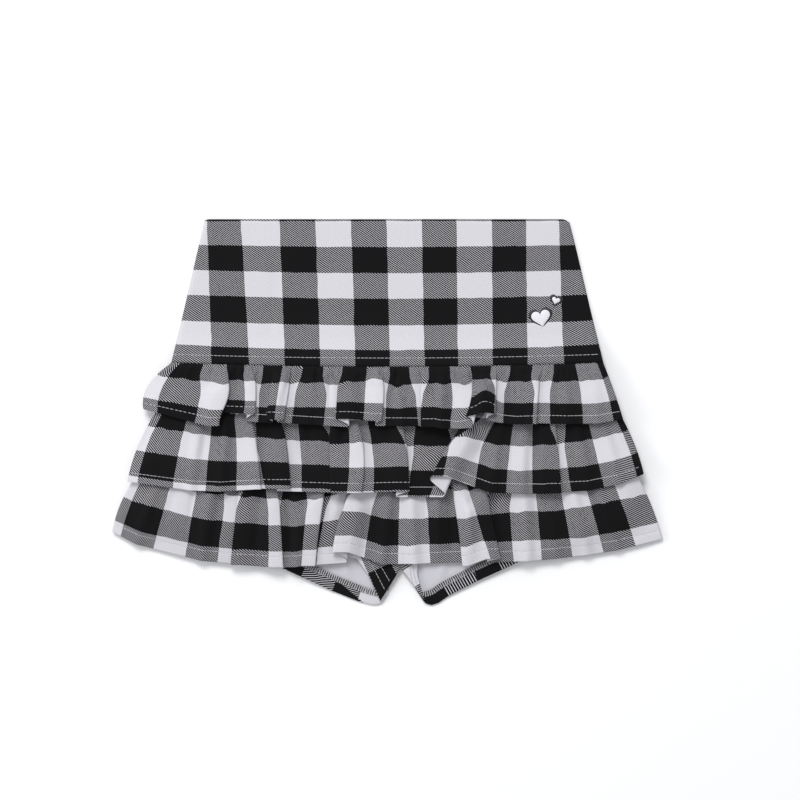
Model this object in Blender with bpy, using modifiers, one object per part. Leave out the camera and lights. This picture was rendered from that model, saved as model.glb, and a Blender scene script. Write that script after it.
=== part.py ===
"""Ruffle skort laid flat: a yoke over a pair of shorts, with three gathered tiers front and back.

+Y points to the waist, +X to the right of the laid garment and +Z up. The floor is z = 0, and the
origin is the middle of the garment's outline. Lengths in this file are millimetres until a mesh is
placed, and meshes are in metres. "left" and "right" are those of the garment as it lies, seen
from above.
"""

import math
from dataclasses import dataclass

import bmesh
import bpy
import numpy as np
from mathutils.bvhtree import BVHTree

MM = 0.001

# Cloth: its wall, the gaps at seams and between layers, more of it where a wall slopes, the
# distance over which a layer eases over an edge under it, and one square of the check
WALL = 1.0
SEAM_GAP = 0.3
REST_GAP = 0.35
SLOPE_GAP = 0.2
TIER_EASE = 12.0
LEG_EASE = 16.0
SQUARE = 28.0

# Yoke
WAIST_Y = 150.5
WAIST_LEFT_X = -143.0
WAIST_RIGHT_X = 142.5
YOKE_LEFT_X = -168.7
YOKE_RIGHT_X = 168.7
YOKE_SEAM_Y = 38.2
YOKE_SEAM_SAG = 3.2
SEAM_HALF = 168.7
YOKE_BACK_LIFT = 2.8
YOKE_LIFT_LENGTH = 34.0
YOKE_COLUMNS = 11
YOKE_ROWS = 7

# Shorts
CROTCH = (10.7, -122.5)
CROTCH_SHARE = 0.84
LEG_COLUMNS = 13
LEG_ROWS = 12
HEM_TURN = 11.0
HEM_RADIUS = 0.8
HEM_ABOVE = 0.93

# Tiers: seam lines, how far a gathered seam squeezes the cloth, the shape of a folded edge and
# of the rise beyond it, the seam gathers, and the rows and waves
TIER_2_SEAM_Y = 9.8
TIER_3_SEAM_Y = -40.2
SEAM_SQUEEZE = 0.6
MOST_OVERLAP = 8.0
LEAST_RUN = 0.8
SHELF_SPARE = 0.8
TIPPED_SHARE = 0.8
SLIDE_SHARE = 0.65
SPREAD = 1.2
RAMP = 14.0
GATHER_RISE = 0.35
GATHER_SHARE = 0.35
TURN_STEPS = 3
FORMED_SHARE = 0.6
WAVE_BASE = 8.0
WAVE_SLOPE = 2.5
SPAN_STEP = 9.0
TIER_1_ROWS = (0.0, 0.1, 0.18, 0.26, 0.38, 0.56, 0.78, 1.0)
TIER_2_3_ROWS = (0.0, 0.14, 0.28, 0.42, 0.6, 0.8, 1.0)
BACK_ROWS = (0.0, 0.3, 0.65, 1.0)
BACK_WAVES = 13
BACK_WAVE_HEIGHT = 1.6
BACK_WAVE_TAKE = 6.0
BACK_WAVE_SHIFT = 0.18
BACK_WAVE_TURN = 2.4
BACK_HEM_LIFT = 2.5
BACK_SIDE_INSET = 1.5

CLOTH_GREY = (0.21, 0.21, 0.22)
YOKE_GREY = (0.24, 0.24, 0.25)
SHORTS_GREY = (0.30, 0.30, 0.32)


@dataclass(frozen=True)
class Fold:
    """One fold of a tier.

    lies is "left" or "right" for the side that lies on top, or "soft" for an open wave.
    place counts check squares along the flat strip. The xs are those of the edge that shows, at
    the seam, half way down and at the hem, and the ys those of the hem on both sides of it.
    Takes are the lengths of cloth that the fold hides, half way down and at the hem. size is the
    radius of each turn, or the height of an open wave.
    """

    lies: str
    place: float
    seam_x: float
    mid_x: float
    hem_x: float
    left_y: float
    right_y: float
    mid_take: float
    hem_take: float
    size: float


@dataclass(frozen=True)
class Side:
    """One side edge of a tier: its place on the strip, its xs and the y where the hem ends."""

    place: float
    seam_x: float
    mid_x: float
    hem_x: float
    hem_y: float


@dataclass(frozen=True)
class Tier:
    """A gathered strip: its seam line, its side edges and its folds from left to right."""

    name: str
    seam_y: float
    left: Side
    right: Side
    folds: tuple


TIER_1 = Tier(
    "tier_1_front",
    YOKE_SEAM_Y - 2 * SEAM_GAP,
    Side(0.62, -168.7, -185.5, -188.0, 2.0),
    Side(21.3, 168.7, 176.8, 183.8, -5.9),
    (
        #    lies    place   seam    mid     hem    left y right y  takes      size
        Fold("left", 3.11, -123.5, -124.6, -129.5, -11.3, -0.4, 22.0, 22.0, 1.1),
        Fold("left", 4.57, -103.6, -102.6, -102.8, -6.6, -7.8, 15.0, 15.0, 0.9),
        Fold("right", 5.55, -88.4, -91.6, -93.6, -9.0, -6.2, 10.5, 10.5, 1.0),
        Fold("left", 6.52, -74.3, -77.6, -80.5, -6.6, -8.6, 12.0, 12.0, 0.9),
        Fold("soft", 7.45, -58.0, -61.1, -63.4, -10.1, -10.1, 6.0, 6.0, 2.2),
        Fold("right", 8.82, -37.7, -38.8, -40.0, -12.1, -5.7, 23.0, 23.0, 1.0),
        Fold("left", 10.7, -3.4, -3.0, -4.5, -7.4, -11.3, 11.0, 11.0, 0.9),
        Fold("soft", 11.45, 9.3, 9.6, 11.2, -11.3, -11.3, 8.0, 5.0, 2.4),
        Fold("right", 12.6, 25.5, 26.3, 26.3, -11.7, -12.1, 20.0, 26.0, 0.9),
        Fold("soft", 13.6, 42.5, 42.2, 41.8, -13.3, -13.3, 6.5, 6.5, 2.4),
        Fold("right", 14.6, 59.0, 60.6, 62.2, -12.5, -5.1, 10.5, 12.0, 1.0),
        Fold("soft", 15.45, 71.5, 70.8, 70.8, 1.0, 1.0, 10.0, 10.0, 3.0),
        Fold("left", 16.32, 86.3, 84.8, 84.2, -3.0, -7.8, 16.0, 16.0, 1.0),
        Fold("soft", 17.5, 103.3, 101.5, 100.3, -10.1, -10.1, 7.0, 7.0, 2.4),
        Fold("left", 18.36, 119.9, 117.5, 116.0, -9.8, -9.0, 14.0, 14.0, 0.9),
        Fold("soft", 19.5, 137.8, 139.4, 140.9, -9.8, -9.8, 6.0, 6.0, 2.2),
        Fold("soft", 20.5, 155.8, 162.3, 164.3, -9.4, -9.4, 3.0, 3.0, 1.8),
    ),
)

TIER_2 = Tier(
    "tier_2_front",
    TIER_2_SEAM_Y,
    Side(0.72, -173.5, -194.1, -202.6, -54.7),
    Side(23.2, 174.0, 191.6, 200.0, -48.8),
    (
        Fold("soft", 2.5, -143.8, -149.6, -153.5, -61.6, -61.6, 3.5, 2.0, 2.0),
        Fold("soft", 3.5, -125.8, -128.5, -130.1, -62.4, -62.4, 9.0, 8.0, 3.0),
        Fold("left", 4.55, -107.1, -101.6, -97.7, -60.5, -60.1, 10.0, 3.0, 0.9),
        Fold("left", 6.2, -84.5, -78.2, -75.5, -60.1, -62.0, 25.0, 30.0, 1.0),
        Fold("right", 8.6, -47.0, -44.7, -44.1, -63.3, -63.2, 46.0, 50.0, 0.9),
        Fold("left", 10.4, -27.1, -21.7, -20.0, -63.3, -63.3, 9.0, 3.0, 0.9),
        Fold("left", 12.42, 8.3, 15.4, 16.8, -62.4, -66.7, 24.0, 24.0, 0.9),
        Fold("right", 15.15, 70.7, 48.1, 38.8, -66.7, -50.3, 57.0, 60.0, 1.7),
        Fold("soft", 17.5, 93.5, 84.8, 80.3, -63.2, -63.2, 5.5, 4.0, 2.6),
        Fold("soft", 18.5, 109.0, 105.5, 104.3, -64.0, -64.0, 8.6, 5.0, 2.6),
        Fold("soft", 19.5, 119.4, 120.7, 122.1, -64.1, -64.1, 9.0, 7.0, 1.6),
        Fold("left", 20.37, 130.4, 133.1, 136.0, -63.6, -63.3, 21.0, 20.0, 0.9),
        Fold("soft", 21.5, 145.3, 151.1, 157.3, -61.6, -61.6, 6.5, 4.0, 2.4),
        Fold("soft", 22.5, 160.0, 172.5, 180.7, -56.6, -56.6, 3.0, 2.0, 2.0),
    ),
)

TIER_3 = Tier(
    "tier_3_front",
    TIER_3_SEAM_Y,
    Side(0.75, -188.0, -205.4, -215.3, -94.0),
    Side(24.8, 188.5, 204.1, 215.4, -99.7),
    (
        Fold("soft", 1.5, -173.5, -184.5, -195.6, -104.2, -104.2, 6.0, 4.0, 2.2),
        Fold("soft", 3.5, -135.2, -140.2, -145.7, -116.6, -116.6, 7.0, 5.0, 3.0),
        Fold("right", 4.71, -113.3, -118.0, -122.7, -119.3, -119.7, 16.0, 16.0, 0.9),
        Fold("left", 6.66, -86.0, -83.7, -81.4, -121.7, -122.1, 19.0, 15.0, 0.9),
        Fold("soft", 7.5, -71.3, -71.6, -71.8, -121.3, -121.3, 10.0, 13.0, 2.2),
        Fold("left", 9.17, -44.7, -51.7, -56.4, -120.5, -120.5, 40.0, 44.0, 0.9),
        Fold("right", 11.3, -24.0, -36.1, -42.7, -118.2, -110.4, 45.0, 45.0, 1.7),
        Fold("soft", 13.5, 2.7, -0.6, -4.4, -119.3, -119.3, 5.0, 1.0, 2.6),
        Fold("soft", 14.5, 18.1, 19.0, 21.2, -119.0, -119.0, 12.0, 1.5, 3.0),
        Fold("right", 16.15, 46.9, 54.0, 58.7, -117.4, -120.5, 15.0, 6.0, 1.2),
        Fold("left", 18.35, 76.4, 80.3, 88.7, -115.0, -117.8, 52.0, 60.0, 1.2),
        Fold("soft", 20.5, 104.2, 107.2, 109.6, -117.0, -117.0, 10.0, 9.0, 2.6),
        Fold("soft", 21.5, 122.1, 127.4, 132.0, -115.0, -115.0, 5.0, 1.0, 1.8),
        Fold("soft", 22.45, 138.7, 147.7, 156.5, -112.3, -112.3, 11.0, 6.0, 2.4),
        Fold("soft", 23.5, 158.7, 169.4, 180.7, -108.4, -108.4, 4.0, 2.0, 2.0),
    ),
)

MID_SHARE = {"tier_1": 0.5, "tier_2": 0.55, "tier_3": 0.48}

# Shorts: each side line runs down from the yoke, and each hem from the side to the inner leg.
LEFT_SIDE = ((-168.0, 37.6), (-173.0, 9.0), (-184.0, -39.4), (-184.5, -78.0))
RIGHT_SIDE = ((168.0, 37.6), (173.0, 9.0), (184.0, -39.4), (184.5, -76.0))
BACK_LEFT_HEM = ((-184.5, -78.0), (-81.0, -122.0), (-42.7, -139.5), (-16.0, -149.6), (-6.0, -150.0))
BACK_RIGHT_HEM = ((184.5, -76.0), (96.5, -119.6), (71.5, -131.0), (47.8, -143.2), (30.0, -149.9))
FRONT_LEFT_HEM = ((-184.5, -74.0), (-60.0, -108.0), (-24.0, -114.0), (-15.0, -127.0), (-5.6, -148.4))
FRONT_RIGHT_HEM = ((184.5, -72.0), (70.0, -104.0), (24.0, -114.0), (23.5, -128.0), (29.0, -147.5))


def smooth(share):
    """Ease from 0 to 1 as share goes from 0 to 1."""
    share = min(1.0, max(0.0, share))
    return share * share * (3.0 - 2.0 * share)


def mix(start, end, share):
    """Value at a share of the way from start to end."""
    return start + (end - start) * share


def along(points, share):
    """Point at a share of a polyline's length."""
    lengths = [math.dist(first, second) for first, second in zip(points, points[1:])]
    left = share * sum(lengths)
    for first, second, length in zip(points, points[1:], lengths):
        if left <= length:
            return mix(first[0], second[0], left / length), mix(first[1], second[1], left / length)
        left -= length
    return points[-1]


class Bed:
    """Height of what already lies on the floor, on a square grid."""

    STEP = 2.0
    HALF_X = 228.0
    HALF_Y = 162.0

    def __init__(self):
        self.xs = np.arange(-self.HALF_X, self.HALF_X + self.STEP, self.STEP)
        self.ys = np.arange(-self.HALF_Y, self.HALF_Y + self.STEP, self.STEP)
        self.height = np.zeros((len(self.xs), len(self.ys)))
        self.eased = self.height.copy()

    def lay(self, panel):
        """Add a finished panel to the bed."""
        depsgraph = bpy.context.evaluated_depsgraph_get()
        tree = BVHTree.FromObject(panel, depsgraph)
        for i, x in enumerate(self.xs):
            for j, y in enumerate(self.ys):
                hit = tree.ray_cast((x * MM, y * MM, 1.0), (0.0, 0.0, -1.0))[0]
                if hit is not None:
                    self.height[i, j] = max(self.height[i, j], hit.z / MM)

    def ease(self, distance):
        """Spread the heights sideways and blur them, so that nothing laid on them cuts in."""
        reach = round(distance / self.STEP)
        steps = range(-reach, reach + 1)
        disk = [(i, j) for i in steps for j in steps if i * i + j * j <= reach * reach]
        padded = np.pad(self.height, reach, mode="edge")
        shape = self.height.shape
        spread = np.zeros(shape)
        for i, j in disk:
            window = padded[reach + i:reach + i + shape[0], reach + j:reach + j + shape[1]]
            spread = np.maximum(spread, window)
        padded = np.pad(spread, reach, mode="edge")
        blurred = np.zeros(shape)
        for i, j in disk:
            blurred += padded[reach + i:reach + i + shape[0], reach + j:reach + j + shape[1]]
        self.eased = blurred / len(disk)

    def top(self, x, y):
        """Eased height at a point."""
        column = min(len(self.xs) - 2.001, max(0.0, (x + self.HALF_X) / self.STEP))
        row = min(len(self.ys) - 2.001, max(0.0, (y + self.HALF_Y) / self.STEP))
        i, j = int(column), int(row)
        near = mix(self.eased[i, j], self.eased[i, j + 1], row - j)
        far = mix(self.eased[i + 1, j], self.eased[i + 1, j + 1], row - j)
        return mix(near, far, column - i)

    def middle(self, x, y):
        """Height of the middle of a wall that rests on the bed at a point."""
        top = self.top(x, y)
        return top + WALL / 2 + (REST_GAP + SLOPE_GAP if top > 0.05 else 0.0)


def cloth_material(name, colour):
    """A plain woven cloth of one colour."""
    material = bpy.data.materials.new(name)
    material.use_nodes = True
    shader = material.node_tree.nodes["Principled BSDF"]
    shader.inputs["Base Color"].default_value = (*colour, 1.0)
    shader.inputs["Roughness"].default_value = 0.85
    shader.inputs["Metallic"].default_value = 0.0
    return material


def sheet(name, columns, rows, place, colour, collection):
    """A cloth panel: a grid of columns x rows points put in place, thickened to the wall.

    place takes a column and a row number and returns a point in millimetres.
    """
    grid = bmesh.new()
    bmesh.ops.create_grid(grid, x_segments=columns - 1, y_segments=rows - 1, size=0.5)
    for vertex in grid.verts:
        column = round((vertex.co.x + 0.5) * (columns - 1))
        row = rows - 1 - round((vertex.co.y + 0.5) * (rows - 1))
        vertex.co = [length * MM for length in place(column, row)]
    mesh = bpy.data.meshes.new(name)
    grid.to_mesh(mesh)
    grid.free()
    mesh.materials.append(cloth_material(name + "_cloth", colour))
    mesh.shade_smooth()
    panel = bpy.data.objects.new(name, mesh)
    collection.objects.link(panel)
    wall = panel.modifiers.new("wall", "SOLIDIFY")
    wall.thickness = WALL * MM
    wall.offset = 0.0
    return panel


def yoke_seam_y(x):
    """The seam under the yoke, which sags a little in the middle."""
    return YOKE_SEAM_Y - YOKE_SEAM_SAG * (1.0 - (x / SEAM_HALF) ** 2)


def build_yoke(name, bed, lift, collection):
    """One side of the yoke, from the waist down to the seam; lift raises its seam edge."""

    def place(column, row):
        across = column / (YOKE_COLUMNS - 1)
        down = smooth(row / (YOKE_ROWS - 1))
        left = mix(WAIST_LEFT_X, YOKE_LEFT_X, down)
        right = mix(WAIST_RIGHT_X, YOKE_RIGHT_X, down)
        x = mix(left, right, across)
        y = mix(WAIST_Y, yoke_seam_y(x), down)
        ramp = smooth(1.0 - (y - yoke_seam_y(x)) / YOKE_LIFT_LENGTH)
        return x, y, max(bed.middle(x, y), WALL / 2 + lift * ramp)

    return sheet(name, YOKE_COLUMNS, YOKE_ROWS, place, YOKE_GREY, collection)


def leg_point(side, hem, across, down):
    """Point of a leg panel, as a patch between its side, its centre line, its seam and its hem."""
    seam_centre = (math.copysign(SEAM_GAP, side[0][0]), yoke_seam_y(0.0) - 2 * SEAM_GAP)
    crotch = (CROTCH[0] + math.copysign(SEAM_GAP, side[0][0]), CROTCH[1])
    if down <= CROTCH_SHARE:
        share = down / CROTCH_SHARE
        centre = (mix(seam_centre[0], crotch[0], share), mix(seam_centre[1], crotch[1], share))
    else:
        share = (down - CROTCH_SHARE) / (1.0 - CROTCH_SHARE)
        centre = (mix(crotch[0], hem[-1][0], share), mix(crotch[1], hem[-1][1], share))
    side_point = along(side, down)
    seam_x = mix(side[0][0], seam_centre[0], across)
    seam_point = (seam_x, yoke_seam_y(seam_x) - 2 * SEAM_GAP)
    hem_point = along(hem, across)
    corners = (side[0], seam_centre, hem[0], hem[-1])
    point = []
    for axis in range(2):
        ruled = mix(seam_point[axis], hem_point[axis], down)
        ruled += mix(side_point[axis], centre[axis], across)
        ruled -= mix(
            mix(corners[0][axis], corners[1][axis], across),
            mix(corners[2][axis], corners[3][axis], across),
            down,
        )
        point.append(ruled)
    return point


def build_front_leg(name, side, hem, bed, collection):
    """A front panel of the shorts, from the yoke seam to the hem of its leg."""

    def place(column, row):
        x, y = leg_point(side, hem, column / (LEG_COLUMNS - 1), row / (LEG_ROWS - 1))
        return x, y, bed.middle(x, y)

    return sheet(name, LEG_COLUMNS, LEG_ROWS, place, SHORTS_GREY, collection)


def build_back_leg(name, side, hem, bed, collection):
    """A back panel of the shorts, whose hem is turned up on the inside."""
    high = 2 * HEM_RADIUS
    turned = (
        # out past the hem and up over the outer side, row by row
        (HEM_RADIUS, 0.3 * HEM_RADIUS),
        (HEM_RADIUS, 1.7 * HEM_RADIUS),
        (0.0, high),
        (-0.5 * HEM_TURN, high),
        (-HEM_TURN, high),
    )

    def place(column, row):
        across = column / (LEG_COLUMNS - 1)
        down = min(1.0, row / (LEG_ROWS - 1))
        x, y = leg_point(side, hem, across, down)
        if row < LEG_ROWS:
            return x, y, bed.middle(x, y)
        above = leg_point(side, hem, across, HEM_ABOVE)
        length = math.dist(above, (x, y))
        out, rise = turned[row - LEG_ROWS]
        x += (x - above[0]) / length * out
        y += (y - above[1]) / length * out
        return x, y, bed.middle(x, y) + rise

    return sheet(name, LEG_COLUMNS, LEG_ROWS + len(turned), place, SHORTS_GREY, collection)


class Row:
    """One row of a tier at a share of the way from its seam to its hem."""

    def __init__(self, tier, down):
        self.tier = tier
        self.down = down
        self.mid = MID_SHARE[tier.name[:6]]
        self.squeeze = mix(SEAM_SQUEEZE, 1.0, smooth(down / self.mid))

    def across(self, item):
        """x of a fold or side edge on this row: a parabola through its three xs."""
        down, mid = self.down, self.mid
        seam_part = (down - mid) * (down - 1.0) / mid
        mid_part = down * (down - 1.0) / (mid * (mid - 1.0))
        hem_part = down * (down - mid) / (1.0 - mid)
        return seam_part * item.seam_x + mid_part * item.mid_x + hem_part * item.hem_x

    def take(self, fold):
        """Cloth hidden by a fold on this row."""
        if self.down < self.mid:
            return fold.mid_take * smooth(self.down / self.mid)
        return mix(fold.mid_take, fold.hem_take, (self.down - self.mid) / (1.0 - self.mid))

    def turn(self, fold):
        """Angle of each turn and half the length of the run between the turns.

        A fold starts flat at the seam, tips over first and only then slides under itself.
        """
        whole = 2.0 * math.pi * fold.size
        grown = min(1.0, self.down / self.mid)
        take = fold.mid_take if self.down < self.mid else self.take(fold)
        angle = math.pi * min(1.0, (take / whole) ** (1.0 / 3.0)) * smooth(grown / TIPPED_SHARE)
        overlap = min(MOST_OVERLAP, max(0.0, (take - whole) / 2.0))
        slid = smooth((grown - SLIDE_SHARE) / (1.0 - SLIDE_SHARE))
        return angle, max(LEAST_RUN, overlap * slid) / 2.0

    def level(self, fold):
        """Height of a fold's upper side over its lower side."""
        angle, run = self.turn(fold)
        return 2.0 * (run * math.sin(angle) + fold.size * (1.0 - math.cos(angle)))

    def folded(self, fold):
        """Columns through a folded edge: (place, x, rise, hem y) of each."""
        angle, run = self.turn(fold)
        arc = fold.size * angle
        reach = run + arc
        half_x = run * math.cos(angle) + fold.size * math.sin(angle)
        half_z = run * math.sin(angle) + fold.size * (1.0 - math.cos(angle))
        spare = max(0.0, self.take(fold) - 2.0 * (reach - half_x))
        hand = 1.0 if fold.lies == "left" else -1.0
        setback = hand * (run + fold.size) * smooth(angle / math.pi)
        centre = self.across(fold) - setback
        formed = smooth(angle / (FORMED_SHARE * math.pi))
        squeeze = mix(self.squeeze, 1.0, formed)
        columns = []
        for sign in (-1.0, 1.0):
            steps = range(TURN_STEPS + 1)
            for step in (reversed(steps) if sign < 0 else steps):
                length = mix(SPREAD * (step + 0.5), run + arc * step / TURN_STEPS, formed)
                if length <= run:
                    x, z = length * math.cos(angle), length * math.sin(angle)
                elif length < reach:
                    slope = (length - run) / fold.size - angle
                    x = run * math.cos(angle) + fold.size * (math.sin(slope) + math.sin(angle))
                    z = run * math.sin(angle) + fold.size * (math.cos(slope) - math.cos(angle))
                else:
                    x, z = half_x + length - reach, half_z
                hidden = length + spare / 2.0 * min(1.0, length / reach)
                rise = half_z - sign * hand * z
                side = 0.5 + 0.5 * sign * min(1.0, length / reach)
                columns.append((
                    fold.place + (sign * hidden - setback) / SQUARE,
                    centre + sign * x * squeeze,
                    rise,
                    mix(fold.left_y, fold.right_y, side),
                ))
        shelf = hand * mix(SPREAD, 2.0 * run + fold.size + SHELF_SPARE, formed)
        place, x, rise, hem_y = columns[0 if hand > 0 else -1]
        columns.insert(
            0 if hand > 0 else len(columns),
            (place - shelf / SQUARE, x - shelf * squeeze, rise, hem_y),
        )
        return columns

    def wave_width(self, fold):
        """Width of an open wave."""
        return (WAVE_BASE + WAVE_SLOPE * fold.size) * self.squeeze

    def groups(self):
        """Columns of each side edge and fold, from left to right."""
        left, right = self.tier.left, self.tier.right
        groups = [[(left.place, self.across(left), 0.0, left.hem_y)]]
        for fold in self.tier.folds:
            if fold.lies == "soft":
                groups.append([(fold.place, self.across(fold), 0.0, fold.left_y)])
            else:
                groups.append(self.folded(fold))
        groups.append([(right.place, self.across(right), 0.0, right.hem_y)])
        return groups

    def fullness(self, number, x):
        """Height added at x by all folds but the one whose group has this number.

        A fold raises only the columns on its upper side, over the cloth that it hides, and
        its rise runs out beyond them.
        """
        height = 0.0
        for order, fold in enumerate(self.tier.folds, start=1):
            edge = self.across(fold)
            if fold.lies == "soft":
                reach = abs(x - edge) / (self.wave_width(fold) / 2.0)
                grown = fold.size * smooth(self.down / self.mid)
                height += grown * (0.5 + 0.5 * math.cos(math.pi * min(1.0, reach)))
                continue
            if order == number:
                continue
            upper = number < order if fold.lies == "left" else number > order
            if upper:
                run = self.turn(fold)[1]
                beyond = abs(edge - x) - 2.0 * (run + fold.size)
                height += self.level(fold) * (1.0 - smooth(beyond / RAMP))
        return height

    def points(self, spans):
        """(place, x, rise, hem y) of every column; spans tells how many lie between groups."""
        groups = self.groups()
        row = []
        for number, group in enumerate(groups):
            for place, x, rise, hem_y in group:
                row.append((place, x, rise + self.fullness(number, x), hem_y))
            if number == len(groups) - 1:
                break
            start, end = group[-1], groups[number + 1][0]
            for step in range(1, spans[number] + 1):
                share = step / (spans[number] + 1)
                place, x, _, hem_y = (mix(a, b, share) for a, b in zip(start, end))
                row.append((place, x, self.fullness(number + 0.5, x), hem_y))
        return row


def span_counts(tier):
    """How many columns lie between each two neighbouring groups, by their spacing at the hem."""
    hem = Row(tier, 1.0).groups()
    return [int(abs(right[0][1] - left[-1][1]) // SPAN_STEP) for left, right in zip(hem, hem[1:])]


def tier_seam_y(tier, x):
    """Seam line of a tier, which sags like the yoke's."""
    return tier.seam_y - YOKE_SEAM_SAG * (1.0 - (x / SEAM_HALF) ** 2)


def build_tier(tier, rows, bed, collection):
    """A gathered tier that rests on what is already laid."""
    spans = span_counts(tier)
    table = [Row(tier, down).points(spans) for down in rows]

    def place(column, row):
        _, x, rise, hem_y = table[row][column]
        down = rows[row]
        y = mix(tier_seam_y(tier, x), hem_y, down)
        gather = GATHER_RISE * (1 if column % 2 else -1) * max(0.0, 1.0 - down / GATHER_SHARE)
        return x, y, bed.middle(x, y) + rise + GATHER_RISE + gather

    return sheet(tier.name, len(table[0]), len(rows), place, CLOTH_GREY, collection)


def back_tier(front):
    """The back of a tier: the same strip under the garment, in even open waves."""
    left, right = front.left, front.right
    hem_ys = [(left.hem_x, left.hem_y)]
    hem_ys += [(fold.hem_x, max(fold.left_y, fold.right_y)) for fold in front.folds]
    hem_ys.append((right.hem_x, right.hem_y))
    known_xs, known_ys = zip(*hem_ys)
    folds = []
    for number in range(BACK_WAVES):
        shift = BACK_WAVE_SHIFT * math.sin(BACK_WAVE_TURN * number)
        share = (number + 0.5 + shift) / BACK_WAVES
        hem_x = mix(left.hem_x, right.hem_x, share)
        hem_y = float(np.interp(hem_x, known_xs, known_ys)) + BACK_HEM_LIFT
        folds.append(Fold(
            "soft", mix(left.place, right.place, share), mix(left.seam_x, right.seam_x, share),
            mix(left.mid_x, right.mid_x, share), hem_x, hem_y, hem_y, BACK_WAVE_TAKE,
            BACK_WAVE_TAKE, BACK_WAVE_HEIGHT,
        ))
    inset = BACK_SIDE_INSET
    return Tier(
        front.name.replace("front", "back"),
        front.seam_y,
        Side(left.place, left.seam_x + inset, left.mid_x + inset, left.hem_x + inset,
             left.hem_y + BACK_HEM_LIFT),
        Side(right.place, right.seam_x - inset, right.mid_x - inset, right.hem_x - inset,
             right.hem_y + BACK_HEM_LIFT),
        tuple(folds),
    )


def main():
    """Build the garment from the floor up."""
    for thing in list(bpy.data.objects):
        bpy.data.objects.remove(thing, do_unlink=True)
    collection = bpy.data.collections.new("ruffle_skort")
    bpy.context.scene.collection.children.link(collection)

    bed = Bed()
    for tier in (TIER_1, TIER_2, TIER_3):
        bed.lay(build_tier(back_tier(tier), BACK_ROWS, bed, collection))
        bed.ease(LEG_EASE)
    bed.lay(build_yoke("yoke_back", Bed(), YOKE_BACK_LIFT, collection))
    bed.ease(LEG_EASE)
    back_legs = (
        build_back_leg("shorts_back_left", LEFT_SIDE, BACK_LEFT_HEM, bed, collection),
        build_back_leg("shorts_back_right", RIGHT_SIDE, BACK_RIGHT_HEM, bed, collection),
    )
    for leg in back_legs:
        bed.lay(leg)
    bed.ease(LEG_EASE)
    front_legs = (
        build_front_leg("shorts_front_left", LEFT_SIDE, FRONT_LEFT_HEM, bed, collection),
        build_front_leg("shorts_front_right", RIGHT_SIDE, FRONT_RIGHT_HEM, bed, collection),
    )
    for leg in front_legs:
        bed.lay(leg)
    bed.ease(TIER_EASE)
    for tier in (TIER_3, TIER_2):
        bed.lay(build_tier(tier, TIER_2_3_ROWS, bed, collection))
        bed.ease(TIER_EASE)
    build_yoke("yoke_front", bed, 0.0, collection)
    build_tier(TIER_1, TIER_1_ROWS, bed, collection)


if __name__ == "__main__":
    main()
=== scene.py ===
"""Dresses a laid ruffle skort: a checked twill yoke over shorts, with three gathered tiers.

Lengths are millimetres until a mesh is placed, and meshes are in metres. +Y points to the waist,
+X to the right of the laid garment and +Z up from the table that it lies on. "left" and "right"
are those of the garment seen from above.
"""

import logging
import math
import random
from dataclasses import dataclass, replace
from enum import Enum
from typing import Any, Sequence

import bmesh
import bpy
import numpy as np
from mathutils import Matrix, Vector
from mathutils.bvhtree import BVHTree


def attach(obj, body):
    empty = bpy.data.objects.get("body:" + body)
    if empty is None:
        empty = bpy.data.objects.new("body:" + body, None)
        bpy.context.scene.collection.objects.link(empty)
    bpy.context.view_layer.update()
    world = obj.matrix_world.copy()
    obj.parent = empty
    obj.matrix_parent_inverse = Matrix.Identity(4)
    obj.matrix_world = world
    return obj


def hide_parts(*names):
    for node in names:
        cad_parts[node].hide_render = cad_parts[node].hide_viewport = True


LOG = logging.getLogger("ruffle_skort")

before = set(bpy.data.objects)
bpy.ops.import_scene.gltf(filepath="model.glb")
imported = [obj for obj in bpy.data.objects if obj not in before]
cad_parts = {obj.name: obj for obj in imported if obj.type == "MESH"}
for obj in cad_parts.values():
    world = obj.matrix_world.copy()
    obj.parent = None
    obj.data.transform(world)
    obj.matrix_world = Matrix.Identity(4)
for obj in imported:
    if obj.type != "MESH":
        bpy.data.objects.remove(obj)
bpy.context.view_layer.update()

MM = 0.001
Point = tuple[float, float]
Array = np.ndarray
Column = tuple[float, float, float, float]
Mark = tuple[Vector, Vector, Vector]
Socket = bpy.types.NodeSocket
Tree = bpy.types.NodeTree

# Cloth and the way that it lies, as in the garment's solids: thickness of a solid's wall and of
# the drawn shell, gaps at seams and between layers, the height up to which the table counts as
# bare, how far a bed is eased under tiers and legs, and the squares of the check
WALL = 1.0
SHELL = 0.6
SEAM_GAP = 0.3
REST_GAP = 0.35
SLOPE_GAP = 0.2
BARE = 0.05
TIER_EASE = 12.0
LEG_EASE = 16.0
SQUARE = 28.0
SQUARE_HIGH = 19.7

# Outlines
WAIST_Y = 150.5
WAIST_LEFT_X = -143.0
WAIST_RIGHT_X = 142.5
YOKE_LEFT_X = -168.7
YOKE_RIGHT_X = 168.7
YOKE_SEAM_Y = 38.2
YOKE_SEAM_SAG = 3.2
SEAM_HALF = 168.7
# x where each square of the yoke begins, at the waist and lower down, and y of its rows of
# squares at the sides and in the middle
YOKE_STRIPES_HIGH = (
    -171.2, -141.2, -115.0, -84.5, -56.6, -28.4, -0.7, 26.9, 54.1, 81.9, 108.7, 134.1, 163.0,
)
YOKE_STRIPES_LOW = (
    -170.5, -137.8, -108.8, -80.6, -52.9, -25.4, 1.7, 28.8, 55.1, 82.4, 109.6, 137.4, 170.0,
)
YOKE_STRIPES_LOW_Y = 51.9
YOKE_ROWS_SIDE = (168.0, 149.1, 131.0, 111.5, 92.1, 71.6, 52.6, 33.0)
YOKE_ROWS_CENTRE = (168.0, 149.1, 128.8, 108.3, 88.3, 67.3, 48.0, 28.4)
YOKE_BACK_LIFT = 2.8
YOKE_LIFT_LENGTH = 34.0
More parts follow.
